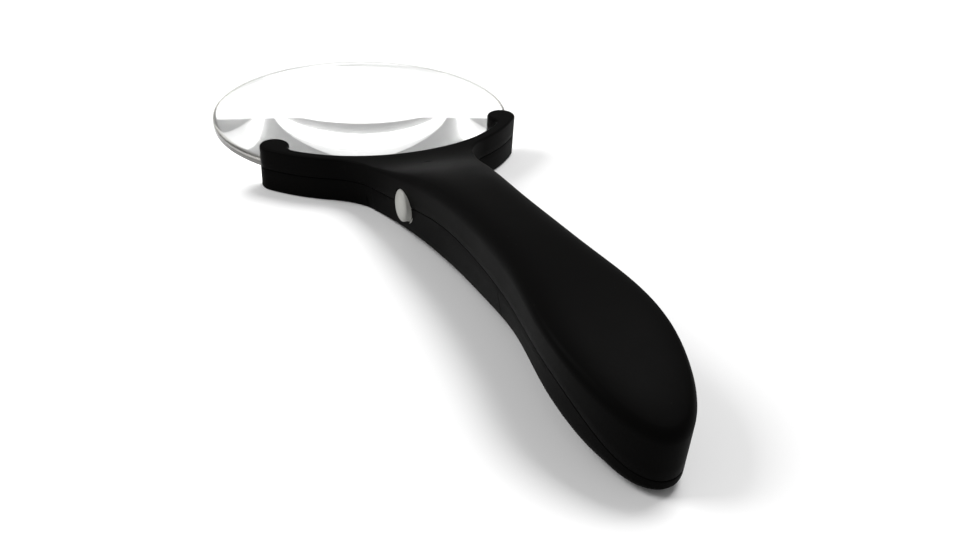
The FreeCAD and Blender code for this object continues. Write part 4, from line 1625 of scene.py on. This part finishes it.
@dataclass
class Studio:
    """Pale floor, soft light and the camera."""

    camera_place: tuple[float, float, float] = (-0.13042, -0.32091, 0.18201)
    azimuth: float = 24.6
    pitch: float = 29.71
    roll: float = 2.42
    focal: float = 44.17
    sensor: float = 36.0
    floor_half: float = 3.0
    ambient: float = 0.33
    bounces: int = 16
    lamps: tuple[Lamp, ...] = (
        Lamp("key_box", (0.95, 0.45, 2.0), (0.0, 0.0, 0.0), (1.0, 1.0), 36.0),
        Lamp("side_box", (-1.5, 0.75, 1.6), (0.0, -0.05, 0.0), (1.0, 1.0), 28.0),
    )

    def floor(self) -> None:
        """Lay the floor, which shows from above only."""
        shape = Shape()
        half = self.floor_half / MM
        corners = [(-half, -half, 0.0), (half, -half, 0.0), (half, half, 0.0), (-half, half, 0.0)]
        shape.faces.append(tuple(shape.ring(np.array(corners))))
        floor = shape.make("floor")
        material, tree, shader = started("pale_floor")
        where = tree.node("ShaderNodeTexCoord").outputs["Object"]
        tree.link(tree.spread(tree.noise(where, 3.0), 0.78, 0.82), shader.inputs["Roughness"])
        shader.inputs["Base Color"].default_value = (0.9, 0.9, 0.9, 1)
        shader.inputs["Specular IOR Level"].default_value = 0.05
        face = tree.node("ShaderNodeNewGeometry")
        tree.choose(face.outputs["Backfacing"], shader, tree.node("ShaderNodeBsdfTransparent"))
        floor.data.materials.append(material)

    def surroundings(self) -> None:
        """Fill the room with soft pale light."""
        world = bpy.data.worlds.new("studio_air")
        world.use_nodes = True
        world.node_tree.nodes["Background"].inputs[0].default_value = (1, 1, 1, 1)
        world.node_tree.nodes["Background"].inputs[1].default_value = self.ambient
        bpy.context.scene.world = world

    def view(self) -> None:
        """Place the camera."""
        turn, dip, tilt = (math.radians(a) for a in (self.azimuth, self.pitch, self.roll))
        ahead = Vector((math.sin(turn) * math.cos(dip), math.cos(turn) * math.cos(dip), -math.sin(dip)))
        level = Vector((math.cos(turn), -math.sin(turn), 0))
        raised = level.cross(ahead)
        right = level * math.cos(tilt) + raised * math.sin(tilt)
        up = right.cross(ahead)
        data = bpy.data.cameras.new("camera")
        data.lens = self.focal
        data.sensor_width = self.sensor
        data.clip_start = 0.01
        camera = bpy.data.objects.new("camera", data)
        pose = Matrix((right, up, -ahead)).transposed().to_4x4()
        pose.translation = self.camera_place
        camera.matrix_world = pose
        bpy.context.scene.collection.objects.link(camera)
        bpy.context.scene.camera = camera
        scene = bpy.context.scene
        scene.view_settings.view_transform = "Standard"
        scene.cycles.max_bounces = scene.cycles.glossy_bounces = self.bounces
        scene.cycles.transmission_bounces = self.bounces

    def build(self) -> None:
        """Set up the whole studio."""
        self.floor()
        self.surroundings()
        for lamp in self.lamps:
            lamp.light()
        self.view()


# ---- whole magnifier ---------------------------------------------------------------------
@dataclass
class Magnifier:
    """All pieces of the magnifier."""

    nodes: dict[str, bpy.types.Object]
    wardrobe: Wardrobe
    crease_deg: float = 32.0
    cap_sink: float = 0.02
    cap_flange: float = 0.8

    def smooth(self, piece: bpy.types.Object) -> None:
        """Shade a piece smooth but for its sharp edges."""
        piece.data.shade_smooth()
        piece.data.set_sharp_from_angle(angle=math.radians(self.crease_deg))

    def finish(
        self, piece: bpy.types.Object, node: str, body: Body, slot: Slot, look: Moulded | Clear
    ) -> None:
        """Smooth a new piece, dress it and tell the frame about it.

        Args:
            piece: the object.
            node: the frame's node that it stands for.
            body: the body it rides on.
            slot: not used.
            look: its finish.
        """
        self.smooth(piece)
        self.wardrobe.wear(piece, look)
        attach(piece, body.value)
        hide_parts(node)
        LOG.info("%s: %d faces", piece.name, len(piece.data.polygons))

    def carry(self) -> None:
        """Dress the frame's own nodes that stay."""
        looks = dict(CARRIED)
        for node, nose_first in (("cell_left", False), ("cell_right", True)):
            low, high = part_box(node)
            name = node + "_sleeve"
            looks[node] = Sleeve(name, SLEEVE_GREY, SLEEVE_COPPER, low.y, high.y, nose_first)
        for node, look in looks.items():
            self.wardrobe.wear(self.nodes[node], look)
            self.smooth(self.nodes[node])

    def build(self) -> None:
        """Build and dress every piece."""
        low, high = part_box("lens")
        centre = (low + high) / 2 / MM
        lens = Lens(centre, (high.x - low.x) / 2 / MM)
        places = Frame(centre.y)
        cap_low, cap_high = places.corners("switch_button")
        middle = places.middle("switch_button")
        button = PushButton(
            middle,
            cap_low.x + self.cap_sink,
            cap_high.x,
            (cap_high.y - cap_low.y) / 2 - self.cap_flange,
            (cap_high.z - cap_low.z) / 2 - self.cap_flange,
        )
        shells = Shells(Form(centre.y)).parts(lens, button, places)
        bodies = {"upper_shell": Body.ROOT, "front_lower_shell": Body.ROOT, "battery_cover": Body.COVER}
        for node, shell in shells.items():
            self.finish(shell, node, bodies[node], Slot.SHELL, SOFT_TOUCH)
        # The lens's rim band gets painted shade and casts a darker ring of shadow.
        look = replace(LENS_CLEAR, edge=(centre.x * MM, centre.y * MM, lens.radius * MM))
        self.finish(lens.piece(), "lens", Body.ROOT, Slot.LENS, look)
        self.finish(button.piece(), "switch_button", Body.BUTTON, Slot.BUTTON, BUTTON_GREY)
        self.carry()


def main() -> None:
    """Build the scene."""
    logging.basicConfig(level=logging.INFO, format="%(name)s %(message)s")
    bpy.ops.wm.read_factory_settings(use_empty=True)
    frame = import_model()
    Studio().build()
    Magnifier(frame["nodes"], Wardrobe(Groups())).build()


if __name__ == "__main__":
    main()
